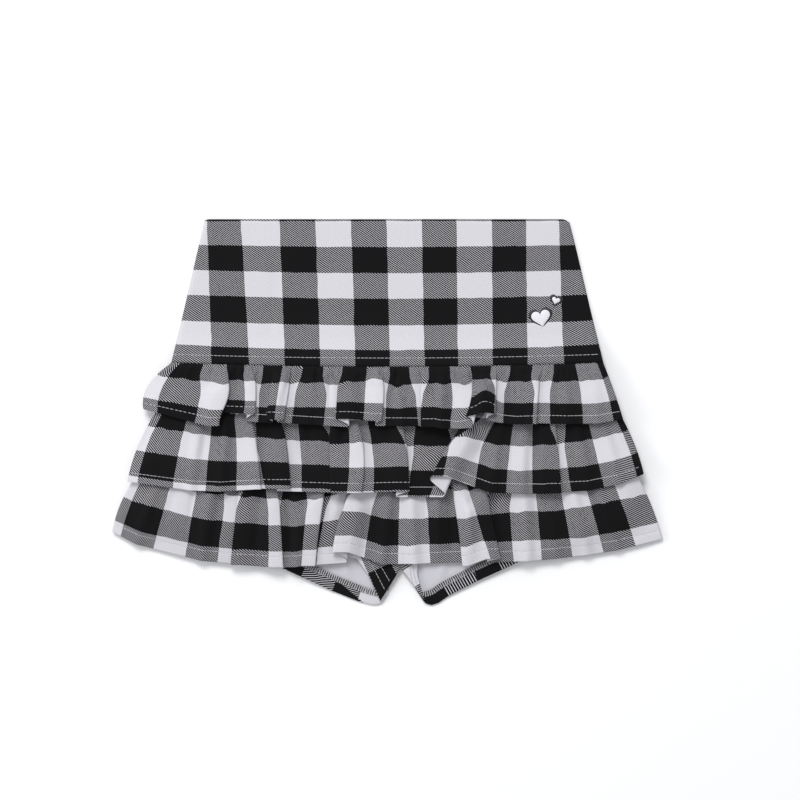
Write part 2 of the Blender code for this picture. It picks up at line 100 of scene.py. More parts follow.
# Corners of the yoke's top edge: how far down each is cut, and over what width. The cut fades
# with this power of the way down.
CORNER_LEFT_CUT = 1.0
CORNER_LEFT_WIDTH = 3.0
CORNER_RIGHT_CUT = 2.6
CORNER_RIGHT_WIDTH = 6.0
CORNER_FADE = 6
# The yoke's free edges: how far they roll down, and how round the roll is
ROLL_DEPTH = 0.8
ROLL_ROUND = 0.96

# Shorts: the crotch, the share of the way down at which it lies, and the hems of the back legs
# that are turned up on the inside
CROTCH = (10.7, -122.5)
CROTCH_SHARE = 0.84
HEM_TURN = 11.0
HEM_RADIUS = 0.8
HEM_ABOVE = 0.93
HEM_TURN_ANGLES = (-60, -30, 0, 30, 60, 90)
HEM_STEPS = 12
HEM_PUFF = 0.25
# How far down the cloth the turned hem counts: where its second layer begins, and each millimetre
HEM_DOWN_START = 1.05
HEM_DOWN_STEP = 0.01

# Ruffles: how far a gathered seam squeezes the cloth, and the shape of a folded edge
SEAM_SQUEEZE = 0.6
MOST_OVERLAP = 8.0
LEAST_RUN = 0.8
SHELF_SPARE = 0.8
TIPPED_SHARE = 0.8
SLIDE_SHARE = 0.65
SPREAD = 1.2
SPREAD_COLUMNS = 4.0
RAMP = 14.0
FORMED_SHARE = 0.6
WAVE_BASE = 8.0
WAVE_SLOPE = 2.5
TURN_STEPS = 6
SPAN_STEP = 1.8

# Small gathers: their rise over what they lie on, the puff below the seam, and ranges of depth,
# length and step as shares of a mean, and of lean and width
GATHER_RISE = 0.35
PUFF_RISE = 4.0
PUFF_REACH = 1.3
GATHER_DEPTHS = (0.4, 1.6)
GATHER_LENGTHS = (0.35, 1.6)
GATHER_LEANS = (-7.0, 7.0)
GATHER_WIDTHS = (1.0, 2.1)
GATHER_STEPS = (0.55, 1.6)
# How unevenly the gathers pull up the rows of squares, and where down the cloth that is over
ROW_PULL = 0.6
ROW_PULL_END = 1.15

# How far below a tier's seam the tuck of its first row reaches
TUCK_LENGTH = 2.0

# Turned hems of the tiers: usual height of the stitching, how many of the hem's rows keep their
# place beside it, the rise of the doubled cloth, and the sink and puckers along the stitches
STITCH_UP = 7.0
ROWS_BY_STITCHES = 6
DOUBLED_RISE = 0.3
DOUBLED_SPARE = 0.8
DOUBLED_EASE = 1.2
STITCH_SINK = 0.28
STITCH_REACH = 0.8
PUCKER = 0.11
PUCKER_REACH = 5.0

# The back, which is gathered less than the front: its strips lie in even open waves
BACK_FULLNESS = 0.68
BACK_WAVES = 13
BACK_WAVE_HEIGHT = 1.6
BACK_WAVE_TAKE = 6.0
BACK_WAVE_SHIFT = 0.18
BACK_WAVE_TURN = 2.4
BACK_HEM_LIFT = 2.5
BACK_SIDE_INSET = 1.5
BACK_GATHER = 0.4
BACK_TUCK = -0.2
BACK_SEED = 10
# Creases on a hidden side: how they are mirrored, and their width and depth beside the front's
BEHIND_SHIFT = 9.0
BEHIND_WIDTH = 1.3
BEHIND_DEPTH = 0.6

# Stitching: how far the yoke's row lies from its seam, how much of each end stays free, the
# starts of the unevenness, the most that a stitch is off its place as a share of the pitch, and
# the most that a bar is askew in degrees
YOKE_STITCH_UP = 6.5
YOKE_STITCH_FREE = 2.0
TIER_STITCH_FREE = 1.0
YOKE_SEED = 2
LEG_SEED = 4
STITCH_SHIFT = 0.08
BAR_ASKEW = 9.0
# Rows along a leg's hem: the shares of the hem, from the side, at which they begin and end, and
# how far down the leg they run
OVERLOCK_ROW = (0.42, 0.97, 1.14)
BACK_HEM_ROW = (0.42, 0.98, 1.125)
FRONT_HEM_ROWS = ((0.55, 1.0, 0.955), (0.55, 1.0, 0.915))

# Share of the way down that is looked at for the normal, and a length that counts as none
LOOK_DOWN = 0.01
NO_LENGTH = 1e-6

# A wave texture of scale 1 has a band about each 0.31 units.
WAVE_BAND = 0.31


def mix(start: Any, end: Any, share: Any) -> Any:
    """Return the value at a share of the way from start to end, for numbers or arrays."""
    return start + (end - start) * share


def smooth(share: Any) -> Any:
    """Ease from 0 to 1 as share goes from 0 to 1, for numbers or arrays."""
    share = np.clip(share, 0.0, 1.0)
    return share * share * (3.0 - 2.0 * share)


def along(points: Sequence[Point], share: float) -> Point:
    """Find the point at a share of a polyline's length.

    Args:
        points: The polyline's corners.
        share: 0 at its start and 1 at its end.

    Returns:
        The x and y of the point.
    """
    lengths = [math.dist(first, second) for first, second in zip(points, points[1:])]
    left = share * sum(lengths)
    for first, second, length in zip(points, points[1:], lengths):
        if left <= length:
            return mix(first[0], second[0], left / length), mix(first[1], second[1], left / length)
        left -= length
    return points[-1]


def linear(hex_colour: str) -> tuple[float, float, float, float]:
    """Turn an sRGB hex colour into linear red, green, blue and alpha."""
    channels = [int(hex_colour[i:i + 2], 16) / 255.0 for i in (1, 3, 5)]
    light = [c / 12.92 if c <= 0.04045 else ((c + 0.055) / 1.055) ** 2.4 for c in channels]
    return light[0], light[1], light[2], 1.0


def add_node(
    tree: bpy.types.NodeTree,
    kind: str,
    settings: dict[str, Any] | None = None,
    inputs: dict[str | int, Any] | None = None,
) -> bpy.types.Node:
    """Add a shader node with its settings, input values and links.

    Args:
        tree: The node tree that it goes in.
        kind: The node's type name.
        settings: Attributes of the node.
        inputs: Values by input name or number; a socket as a value is linked.

    Returns:
        The new node.
    """
    node = tree.nodes.new(kind)
    for name, value in (settings or {}).items():
        setattr(node, name, value)
    for name, value in (inputs or {}).items():
        if isinstance(value, bpy.types.NodeSocket):
            tree.links.new(value, node.inputs[name])
        else:
            node.inputs[name].default_value = value
    return node


def new_material(
    name: str, values: dict[str, Any]
) -> tuple[bpy.types.Material, Tree, bpy.types.Node]:
    """Make a node material.

    Args:
        name: Its name.
        values: Uniform values of its Principled shader, by the input's name.

    Returns:
        The material, its tree and its shader.
    """
    material = bpy.data.materials.new(name)
    material.use_nodes = True
    shader = material.node_tree.nodes["Principled BSDF"]
    for socket, value in values.items():
        shader.inputs[socket].default_value = value
    return material, material.node_tree, shader


def maths(tree: Tree, operation: str, *values: Any) -> Socket:
    """Return the result of a math node on sockets or numbers."""
    settings = {"operation": operation}
    return add_node(tree, "ShaderNodeMath", settings, dict(enumerate(values))).outputs[0]


def vector_maths(tree: Tree, operation: str, inputs: dict[str | int, Any]) -> Socket:
    """Return the result of a vector math node."""
    return add_node(tree, "ShaderNodeVectorMath", {"operation": operation}, inputs).outputs[0]


def toned(tree: Tree, colour: Any, factor: Socket, known: Point, tones: Point) -> Socket:
    """Return a colour that is lighter or darker by a factor.

    Args:
        tree: The material's node tree.
        colour: The colour.
        factor: The factor.
        known: The factor's least and greatest value.
        tones: What the colour is multiplied by at these.

    Returns:
        The socket that holds it.
    """
    tone = add_node(tree, "ShaderNodeMapRange", inputs={
        "Value": factor, "From Min": known[0], "From Max": known[1],
        "To Min": tones[0], "To Max": tones[1],
    })
    return vector_maths(tree, "SCALE", {0: colour, "Scale": tone.outputs[0]})


def bands(tree: Tree, place: Socket, direction: str, length: float, distortion: float) -> Socket:
    """Return a wave with one band in each length of a place, in its own units."""
    return add_node(
        tree, "ShaderNodeTexWave", {"bands_direction": direction},
        {"Vector": place, "Scale": WAVE_BAND / length, "Distortion": distortion},
    ).outputs["Fac"]


def bump(
    tree: Tree, shader: bpy.types.Node, height: Socket, strength: float, depth: float
) -> None:
    """Give a shader a relief, with its depth in millimetres."""
    relief = {"Strength": strength, "Distance": depth * MM, "Height": height}
    node = add_node(tree, "ShaderNodeBump", inputs=relief)
    tree.links.new(node.outputs["Normal"], shader.inputs["Normal"])


class Finish:
    """A finish that makes its material once and then hands out the same one."""

    _made: dict[str, bpy.types.Material] = {}

    def material(self) -> bpy.types.Material:
        """Return this finish's material, making it the first time."""
        key = repr(self)
        if key not in Finish._made:
            Finish._made[key] = self.make()
        return Finish._made[key]

    def make(self) -> bpy.types.Material:
        """Make the material."""
        raise NotImplementedError


@dataclass(frozen=True)
class CheckTwill(Finish):
    """Cotton blend 2/2 twill, yarn dyed in a black and white buffalo check and soft finished.

    Wide black and white stripes of warp cross the same stripes of weft. Where they are alike the
    square is plain; where they differ the diagonal wales show as a fine grey hatch. The eye gets
    a dry, matte cloth with a faint bloom at its folds.

    Attributes:
        black: Colour of the black yarn.
        white: Colour of the white yarn.
        square: Width of a warp stripe.
        square_high: Width of a weft stripe.
        wale: From one wale to the next, across the warp stripes.
        narrow: Height of a wale, of a half at its top, at which the darker yarn ends.
        edge: How much higher the lighter yarn is alone.
        wander: How unevenly the yarns run.
        roughness: How matte it is.
        sheen: Its bloom.
        relief: Depth of its wales.
        dye: What the colour is multiplied by where the dye is darkest and lightest.
        drift_noise: Scale, detail and roughness of the yarns' wandering.
        yarn_noise: The same of the dye.
    """

    black: str = "#08080A"
    white: str = "#CCCBD0"
    square: float = SQUARE
    square_high: float = SQUARE_HIGH
    wale: float = SQUARE / 12
    narrow: float = 0.31
    edge: float = 0.1
    wander: float = 0.3
    roughness: float = 0.85
    sheen: float = 0.02
    relief: float = 0.22
    dye: Point = (0.90, 1.06)
    drift_noise: tuple[float, float, float] = (0.06, 2.0, 0.6)
    yarn_noise: tuple[float, float, float] = (0.9, 4.0, 0.7)

    def make(self) -> bpy.types.Material:
        """Make the woven check from the cloth's own coordinates, in millimetres of cloth."""
        material, tree, shader = new_material("cotton_check_twill", {
            "Roughness": self.roughness, "Sheen Weight": self.sheen, "Sheen Roughness": 0.6,
            "Specular IOR Level": 0.15,
        })
        cloth = add_node(tree, "ShaderNodeUVMap", {"uv_map": "cloth"}).outputs["UV"]
        across, down = self.woven(tree, cloth)

        # A warp stripe is white on even squares, and a weft stripe is black on even squares.
        warp = self.stripe(tree, across, self.square, "LESS_THAN")
        weft = self.stripe(tree, down, self.square_high, "GREATER_THAN")

        # The real wale is well under a millimetre wide, too fine for the picture, so it is drawn
        # at a twelfth of a square. It steps one warp yarn for each weft yarn, so it leans as the
        # diagonal of a square does.
        diagonal = maths(tree, "MULTIPLY_ADD", down, -self.square / self.square_high, across)
        wale = maths(tree, "PINGPONG", self.repeat(tree, diagonal, self.wale), 0.5)
        over = add_node(
            tree, "ShaderNodeMapRange", {"interpolation_type": "SMOOTHSTEP"},
            {"Value": wale, "From Min": self.narrow, "From Max": self.narrow + self.edge},
        )
        both, either = maths(tree, "MINIMUM", warp, weft), maths(tree, "MAXIMUM", warp, weft)
        shown = add_node(
            tree, "ShaderNodeMix", {"data_type": "FLOAT"}, {0: over.outputs[0], 2: both, 3: either}
        )
        colour = add_node(
            tree, "ShaderNodeMix", {"data_type": "RGBA"},
            {0: shown.outputs[0], 6: linear(self.black), 7: linear(self.white)},
        )

        # The dye is a little uneven from yarn to yarn and over the cloth.
        yarns = self.noise(tree, cloth, *self.yarn_noise).outputs["Fac"]
        dyed = toned(tree, colour.outputs[2], yarns, (0.25, 0.75), self.dye)
        tree.links.new(dyed, shader.inputs["Base Color"])
        bump(tree, shader, maths(tree, "MULTIPLY_ADD", yarns, 0.5, wale), 0.35, self.relief)
        return material

    def woven(self, tree: Tree, cloth: Socket) -> tuple[Socket, Socket]:
        """Return the place across and down the cloth, where the yarns wander a little."""
        drift = self.noise(tree, cloth, *self.drift_noise).outputs["Color"]
        centred = vector_maths(tree, "SUBTRACT", {0: drift, 1: (0.5, 0.5, 0.5)})
        moved = vector_maths(tree, "SCALE", {0: centred, "Scale": 4.0 * self.wander})
        place = vector_maths(tree, "ADD", {0: cloth, 1: moved})
        parts = add_node(tree, "ShaderNodeSeparateXYZ", inputs={0: place})
        return parts.outputs["X"], parts.outputs["Y"]

    def noise(
        self, tree: Tree, place: Socket, scale: float, detail: float, roughness: float
    ) -> bpy.types.Node:
        """Return a flat noise at a place."""
        return add_node(
            tree, "ShaderNodeTexNoise", {"noise_dimensions": "2D"},
            {"Vector": place, "Scale": scale, "Detail": detail, "Roughness": roughness},
        )

    def repeat(self, tree: Tree, value: Socket, length: float) -> Socket:
        """Return the share of a repeat of some length that a value has reached."""
        return maths(tree, "FRACT", maths(tree, "DIVIDE", value, length))

    def stripe(self, tree: Tree, value: Socket, width: float, side: str) -> Socket:
        """Return 1 on the white one of two stripes that repeat, and 0 on the black one.

        Args:
            tree: The material's node tree.
            value: The coordinate that crosses the stripes.
            width: The width of one stripe.
            side: LESS_THAN if the first stripe is the white one, and else GREATER_THAN.

        Returns:
            The socket that holds it.
        """
        return maths(tree, side, self.repeat(tree, value, 2.0 * width), 0.5)


@dataclass(frozen=True)
class TwillReverse(Finish):
    """The reverse of the same twill, where the white weft floats: a plain pale grey cloth.

    It is as dry as the face and its wales run the other way; they show as a faint relief and as
    faint bands of painted shade.

    Attributes:
        colour: Its colour.
        wale: From one wale to the next.
        roughness: How matte it is.
    """

    colour: str = "#C6C5CB"
    wale: float = 1.9
    roughness: float = 0.88

    def make(self) -> bpy.types.Material:
        """Make the plain reverse, with faint wales from the cloth's own coordinates, as relief and
        as painted shade.
        """
        material, tree, shader = new_material(
            "cotton_twill_reverse", {"Roughness": self.roughness, "Sheen Weight": 0.1}
        )
        cloth = add_node(tree, "ShaderNodeUVMap", {"uv_map": "cloth"}).outputs["UV"]
        slanted = add_node(
            tree, "ShaderNodeMapping",
            inputs={"Vector": cloth, "Rotation": (0.0, 0.0, math.radians(45.0))},
        ).outputs[0]
        wales = bands(tree, slanted, "X", self.wale, 0.4)
        # The colour is a little darker between the wales: painted shade of their relief, beside
        # the real bump.
        woven = toned(tree, linear(self.colour)[:3], wales, (0.0, 1.0), (0.96, 1.0))
        tree.links.new(woven, shader.inputs["Base Color"])
        bump(tree, shader, wales, 0.2, 0.1)
        return material


@dataclass(frozen=True)
class SewingThread(Finish):
    """Spun polyester sewing thread: a slightly glossy, twisted yarn with a soft highlight, and
    painted shade in the grooves of its twist.

    Attributes:
        colour: Its colour.
        name: Name of its material.
        twist: Length of one turn of its twist.
    """

    colour: str = "#C2C1C6"
    name: str = "polyester_sewing_thread"
    twist: float = 0.5

    def make(self) -> bpy.types.Material:
        """Make the thread, with the shade of its twist painted as a fine ripple on the object's
        coordinates.
        """
        material, tree, shader = new_material(self.name, {"Roughness": 0.55, "Sheen Weight": 0.2})
        place = add_node(tree, "ShaderNodeTexCoord").outputs["Object"]
        # Darker diagonal bands along the twist: painted shade in the grooves between the plies.
        ply_groove_shade = bands(tree, place, "DIAGONAL", self.twist * MM, 1.0)
        twist_shaded_colour = toned(tree, linear(self.colour)[:3], ply_groove_shade, (0.0, 1.0), (0.82, 1.0))
        tree.links.new(twist_shaded_colour, shader.inputs["Base Color"])
        return material


@dataclass(frozen=True)
class FloorPaint(Finish):
    """Matte white emulsion on a board, rolled smooth: an even, pale surface with no shine."""

    colour: str = "#F4F4F5"

    def make(self) -> bpy.types.Material:
        """Make the paint."""
        values = {"Base Color": linear(self.colour), "Roughness": 0.9, "Specular IOR Level": 0.1}
        return new_material("matte_white_emulsion", values)[0]


def add_piece(name: str, shape: bmesh.types.BMesh, *finishes: Finish) -> bpy.types.Object:
    """Put a shape in the scene as a smooth object, and free it.

    Args:
        name: The object's name.
        shape: The shape, in metres.
        finishes: Its finishes, in the order of its material slots.

    Returns:
        The object.
    """
    mesh = bpy.data.meshes.new(name)
    shape.to_mesh(mesh)
    shape.free()
    mesh.shade_smooth()
    for finish in finishes:
        mesh.materials.append(finish.material())
    piece = bpy.data.objects.new(name, mesh)
    bpy.context.scene.collection.objects.link(piece)
    return piece


def bind(piece: bpy.types.Object) -> bpy.types.Object:
    """Bind a piece to the garment's body, and return it."""
    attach(piece, "root")
    return piece


class Face(Enum):
    """Which way the right side of a panel's cloth looks."""

    UP = "up"
    DOWN = "down"


class Lies(Enum):
    """How a fold lies: which side of it is on top, or that it is an open wave."""

    LEFT = "left"
    RIGHT = "right"
    SOFT = "soft"


@dataclass(frozen=True)
class Fold:
    """One fold of a tier.

    Attributes:
        lies: The side that lies on top, or an open wave.
        place: Its place along the flat strip, in squares of the check.
        seam_x: x of the edge that shows, at the seam.
        mid_x: The same half way down.
        hem_x: The same at the hem.
        left_y: y of the hem on its left side.
        right_y: y of the hem on its right side.
        mid_take: Cloth that the fold hides, half way down.
        hem_take: The same at the hem.
        size: Radius of each turn, or the height of an open wave.
        tucked: Whether the cloth that it hides hangs no lower than its upper side.
    """

    lies: Lies
    place: float
    seam_x: float
    mid_x: float
    hem_x: float
    left_y: float
    right_y: float
    mid_take: float
    hem_take: float
    size: float
    tucked: bool = True


@dataclass(frozen=True)
class Side:
    """One side edge of a tier: its place on the strip, its xs and the y where the hem ends."""

    place: float
    seam_x: float
    mid_x: float
    hem_x: float
    hem_y: float


@dataclass(frozen=True)
class Crease:
    """A soft crease laid into cloth between two points seen from above.

    Attributes:
        start: x and y where it begins.
        end: x and y where it runs out.
        width: Its half width.
        depth: Its depth; a ridge has less than nothing.
    """

    start: Point
    end: Point
    width: float
    depth: float

    def height(self, x: Array, y: Array) -> Array:
        """Return the height that it adds at points, in arrays of one shape."""
        run = (self.end[0] - self.start[0], self.end[1] - self.start[1])
        length = math.hypot(*run)
        share = ((x - self.start[0]) * run[0] + (y - self.start[1]) * run[1]) / length**2
        side = ((x - self.start[0]) * run[1] - (y - self.start[1]) * run[0]) / length
        # It begins at once and runs out more slowly.
        ends = smooth(4.0 * share + 0.3) * smooth(2.5 * (1.0 - share) + 0.2)
        return -self.depth * ends * np.exp(-((side / self.width) ** 2))

    def behind(self) -> "Crease":
        """Return a softer crease like it on a panel that lies under the garment."""
        return Crease(
            (BEHIND_SHIFT - self.start[0], self.start[1]),
            (BEHIND_SHIFT - self.end[0], self.end[1]),
            BEHIND_WIDTH * self.width, -BEHIND_DEPTH * abs(self.depth),
        )


def creases_at(*rows: tuple[float, float, float, float, float, float]) -> tuple[Crease, ...]:
    """Return creases from rows of x and y of the start, x and y of the end, width and depth."""
    return tuple(Crease((a, b), (c, d), width, depth) for a, b, c, d, width, depth in rows)


@dataclass(frozen=True)
class Push:
    """A place where the cloth is pushed aside or up, as by a hand that smooths it.

    Attributes:
        centre: x and y of the middle.
        reach: How far it goes in x and in y.
        move: How far the middle goes in x, y and z.
    """

    centre: Point
    reach: Point
    move: tuple[float, float, float]

    def shift(self, x: Array, y: Array) -> tuple[Array, Array, Array]:
        """Return how far points go in x, y and z, in arrays of one shape."""
        off_x = (x - self.centre[0]) / self.reach[0]
        off_y = (y - self.centre[1]) / self.reach[1]
        share = np.exp(-(off_x**2) - off_y**2)
        return self.move[0] * share, self.move[1] * share, self.move[2] * share


class Surface:
    """A fine grid of cloth that runs from a seam, its first row, to a hem, its last row."""

    def __init__(self, points: Array, pattern: Array, across: Array, downs: Array) -> None:
        """Keep the grid.

        Args:
            points: Positions, by row and column.
            across: What tells points of one row apart, growing from left to right.
            downs: What tells the rows apart, growing from the seam to the hem.
        """
        self.points = points
        self.pattern = pattern
        self.across = np.maximum.accumulate(across, axis=1)
        self.downs = downs

    def at(self, across: float, down: float) -> Vector:
        """Return the position at a place across and down the cloth."""
        row = float(np.interp(down, self.downs, np.arange(len(self.downs))))
        first = min(int(row), len(self.downs) - 2)
        ends = []
        for number in (first, first + 1):
            line = self.points[number]
            ends.append([np.interp(across, self.across[number], line[:, k]) for k in range(3)])
        return Vector(mix(np.array(ends[0]), np.array(ends[1]), row - first))

    def frame_at(self, across: float, down: float, step: float) -> tuple[Vector, Vector, Vector]:
        """Find how the cloth lies at a place.

        Args:
            across: Place across.
            down: Place down.
            step: How far across to look for the direction.

        Returns:
            The position, the unit direction across and the unit normal.
        """
        middle = self.at(across, down)
        direction = self.at(across + step, down) - self.at(across - step, down)
        reach = LOOK_DOWN * (self.downs[-1] - self.downs[0])
        upward = self.at(across, down - reach) - self.at(across, down + reach)
        direction = direction.normalized()
        normal = direction.cross(upward)
        if normal.length < NO_LENGTH:
            normal = Vector((0.0, 0.0, 1.0))
        return middle, direction, normal.normalized()


class Bed:
    """Height of what already lies on the table, on a square grid.

    Attributes:
        STEP: Side of its squares.
        HALF_X: How far it reaches to each side.
        HALF_Y: How far it reaches up and down.
        INSIDE: How far from the end of its points a place counts as inside the last square.
    """

    STEP = 2.0
    HALF_X = 228.0
    HALF_Y = 162.0
    INSIDE = 2.001

    def __init__(self) -> None:
        """Start with a bare table."""
        self.xs = np.arange(-self.HALF_X, self.HALF_X + self.STEP, self.STEP)
        self.ys = np.arange(-self.HALF_Y, self.HALF_Y + self.STEP, self.STEP)
        self.height = np.zeros((len(self.xs), len(self.ys)))
        self.eased = self.height.copy()

    def lay(self, panel: bpy.types.Object) -> None:
        """Add a finished panel to the bed."""
        depsgraph = bpy.context.evaluated_depsgraph_get()
        tree = BVHTree.FromObject(panel, depsgraph)
        for i, x in enumerate(self.xs):
            for j, y in enumerate(self.ys):
                hit = tree.ray_cast((x * MM, y * MM, 1.0), (0.0, 0.0, -1.0))[0]
                if hit is not None:
                    self.height[i, j] = max(self.height[i, j], hit.z / MM)

    def ease(self, distance: float) -> None:
        """Spread the heights sideways by a distance and blur them, so that nothing cuts in."""
        reach = round(distance / self.STEP)
        steps = range(-reach, reach + 1)
        disk = [(i, j) for i in steps for j in steps if i * i + j * j <= reach * reach]
        padded = np.pad(self.height, reach, mode="edge")
        wide, high = self.height.shape
        spread = np.zeros((wide, high))
        for i, j in disk:
            moved = padded[reach + i:reach + i + wide, reach + j:reach + j + high]
            spread = np.maximum(spread, moved)
        padded = np.pad(spread, reach, mode="edge")
        blurred = np.zeros((wide, high))
        for i, j in disk:
            blurred += padded[reach + i:reach + i + wide, reach + j:reach + j + high]
        self.eased = blurred / len(disk)

    def middle(self, x: Array, y: Array) -> Array:
        """Return the height of the middle of a wall that rests on the bed, at points."""
        column = np.clip((x + self.HALF_X) / self.STEP, 0.0, len(self.xs) - self.INSIDE)
        row = np.clip((y + self.HALF_Y) / self.STEP, 0.0, len(self.ys) - self.INSIDE)
        i, j = column.astype(int), row.astype(int)
        near = mix(self.eased[i, j], self.eased[i, j + 1], row - j)
        far = mix(self.eased[i + 1, j], self.eased[i + 1, j + 1], row - j)
        top = mix(near, far, column - i)
        return top + WALL / 2 + np.where(top > BARE, REST_GAP + SLOPE_GAP, 0.0)


class Panel:
    """A cut piece of cloth that lies on the bed.

    Attributes:
        name: The node that it stands for.
        face: Which way its right side looks.
        laid: Its grid as it lies, once it is built.
    """

    name: str
    face: Face
    laid: Surface

    def surface(self, bed: Bed) -> Surface:
        """Work out the panel's fine grid."""
        raise NotImplementedError

    def build(self, bed: Bed) -> bpy.types.Object:
        """Make the panel as a thin shell of cloth, lay it and dress it.

        Args:
            bed: What it rests on. The panel isn't added to it.

        Returns:
            The finished object.
        """
        self.laid = self.surface(bed)
        rows, columns = self.laid.across.shape
        grid = bmesh.new()
        bmesh.ops.create_grid(grid, x_segments=columns - 1, y_segments=rows - 1, size=0.5)
        cells = {}
        for vertex in grid.verts:
            column = round((vertex.co.x + 0.5) * (columns - 1))
            row = rows - 1 - round((vertex.co.y + 0.5) * (rows - 1))
            cells[vertex.index] = (row, column)
        for vertex in grid.verts:
            vertex.co = self.laid.points[cells[vertex.index]] * MM
        cloth = grid.loops.layers.uv.new("cloth")
        for corner in (loop for square in grid.faces for loop in square.loops):
            corner[cloth].uv = self.laid.pattern[cells[corner.vert.index]]
        panel = bind(add_piece("cloth_" + self.name, grid, *self.finishes()))
        wall = panel.modifiers.new("wall", "SOLIDIFY")
        wall.thickness = SHELL * MM
        wall.offset = 0.0
        wall.material_offset = 1
        wall.material_offset_rim = 0 if self.face is Face.UP else 1
        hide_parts(self.name)
        LOG.info("%s: %d x %d points", panel.name, rows, columns)
        return panel

    def finishes(self) -> list[Finish]:
        sides = [CheckTwill(), TwillReverse()]
        return sides if self.face is Face.UP else sides[::-1]


def squares_before(distance: Array, edges: Sequence[float]) -> Array:
    """Return how many of the squares that begin at these edges lie before a distance."""
    return np.interp(distance, edges, range(len(edges)))


def yoke_seam_y(x: Any) -> Any:
    """Return y of the seam under the yoke, which sags a little in the middle."""
    return YOKE_SEAM_Y - YOKE_SEAM_SAG * (1.0 - (x / SEAM_HALF) ** 2)


@dataclass
class Yoke(Panel):
    """One side of the yoke, from the waist down to the gathered seam.

    Attributes:
        name: The node that it stands for.
        face: Which way its right side looks.
        lift: How far its seam edge is raised off the table.
        roll: Radius over which its free edges roll down.
        columns: How many columns of points its grid has.
        rows: How many rows it has.
        creases: Its soft creases.
    """

    name: str
    face: Face
    lift: float = 0.0
    roll: float = 1.6
    columns: int = 150
    rows: int = 60
    creases: tuple[Crease, ...] = ()

    def surface(self, bed: Bed) -> Surface:
        """Work out the yoke's grid, with its check straight on the grain."""
        across = np.linspace(0.0, 1.0, self.columns)[None, :]
        down = np.linspace(0.0, 1.0, self.rows)[:, None]
        left = mix(WAIST_LEFT_X, YOKE_LEFT_X, down)
        right = mix(WAIST_RIGHT_X, YOKE_RIGHT_X, down)
        x = mix(left, right, across)
        corner = CORNER_RIGHT_CUT * np.clip(
            (x - WAIST_RIGHT_X + CORNER_RIGHT_WIDTH) / CORNER_RIGHT_WIDTH, 0.0, 1.0
        ) ** 2
        corner = corner + CORNER_LEFT_CUT * np.clip(
            (WAIST_LEFT_X + CORNER_LEFT_WIDTH - x) / CORNER_LEFT_WIDTH, 0.0, 1.0
        ) ** 2
        y = mix(WAIST_Y - corner * (1.0 - down) ** CORNER_FADE, yoke_seam_y(x), down)
        ramp = smooth(1.0 - (y - yoke_seam_y(x)) / YOKE_LIFT_LENGTH)
        z = np.maximum(bed.middle(x, y), WALL / 2 + self.lift * ramp)
        if self.face is Face.UP:
            z = z - self.rolled(np.minimum(x - left, right - x)) - self.rolled(WAIST_Y - y)
            z = z - self.rolled(y - yoke_seam_y(x))
        for crease in self.creases:
            z = z + crease.height(x, y)
        points = np.stack([x, y, np.maximum(z, SHELL / 2)], axis=-1)
        return Surface(points, self.pattern(x, y), x, down[:, 0])

    def rolled(self, distance: Array) -> Array:
        """Return how far cloth rolls down at a distance from its folded edge."""
        share = np.clip(1.0 - distance / self.roll, 0.0, 1.0)
        return ROLL_DEPTH * (1.0 - np.sqrt(1.0 - ROLL_ROUND * share**2))

    def pattern(self, x: Array, y: Array) -> Array:
        """The stripes lean a little outward on the way down, and the rows sag in the middle.
        """
        upper, lower = squares_before(x, YOKE_STRIPES_HIGH), squares_before(x, YOKE_STRIPES_LOW)
        wide = mix(upper, lower, (WAIST_Y - y) / (WAIST_Y - YOKE_STRIPES_LOW_Y))
        sides = squares_before(-y, [-edge for edge in YOKE_ROWS_SIDE])
        centre = squares_before(-y, [-edge for edge in YOKE_ROWS_CENTRE])
        high = mix(centre, sides, (x / SEAM_HALF) ** 2)
        return np.stack([wide * SQUARE, high * SQUARE_HIGH], axis=-1)


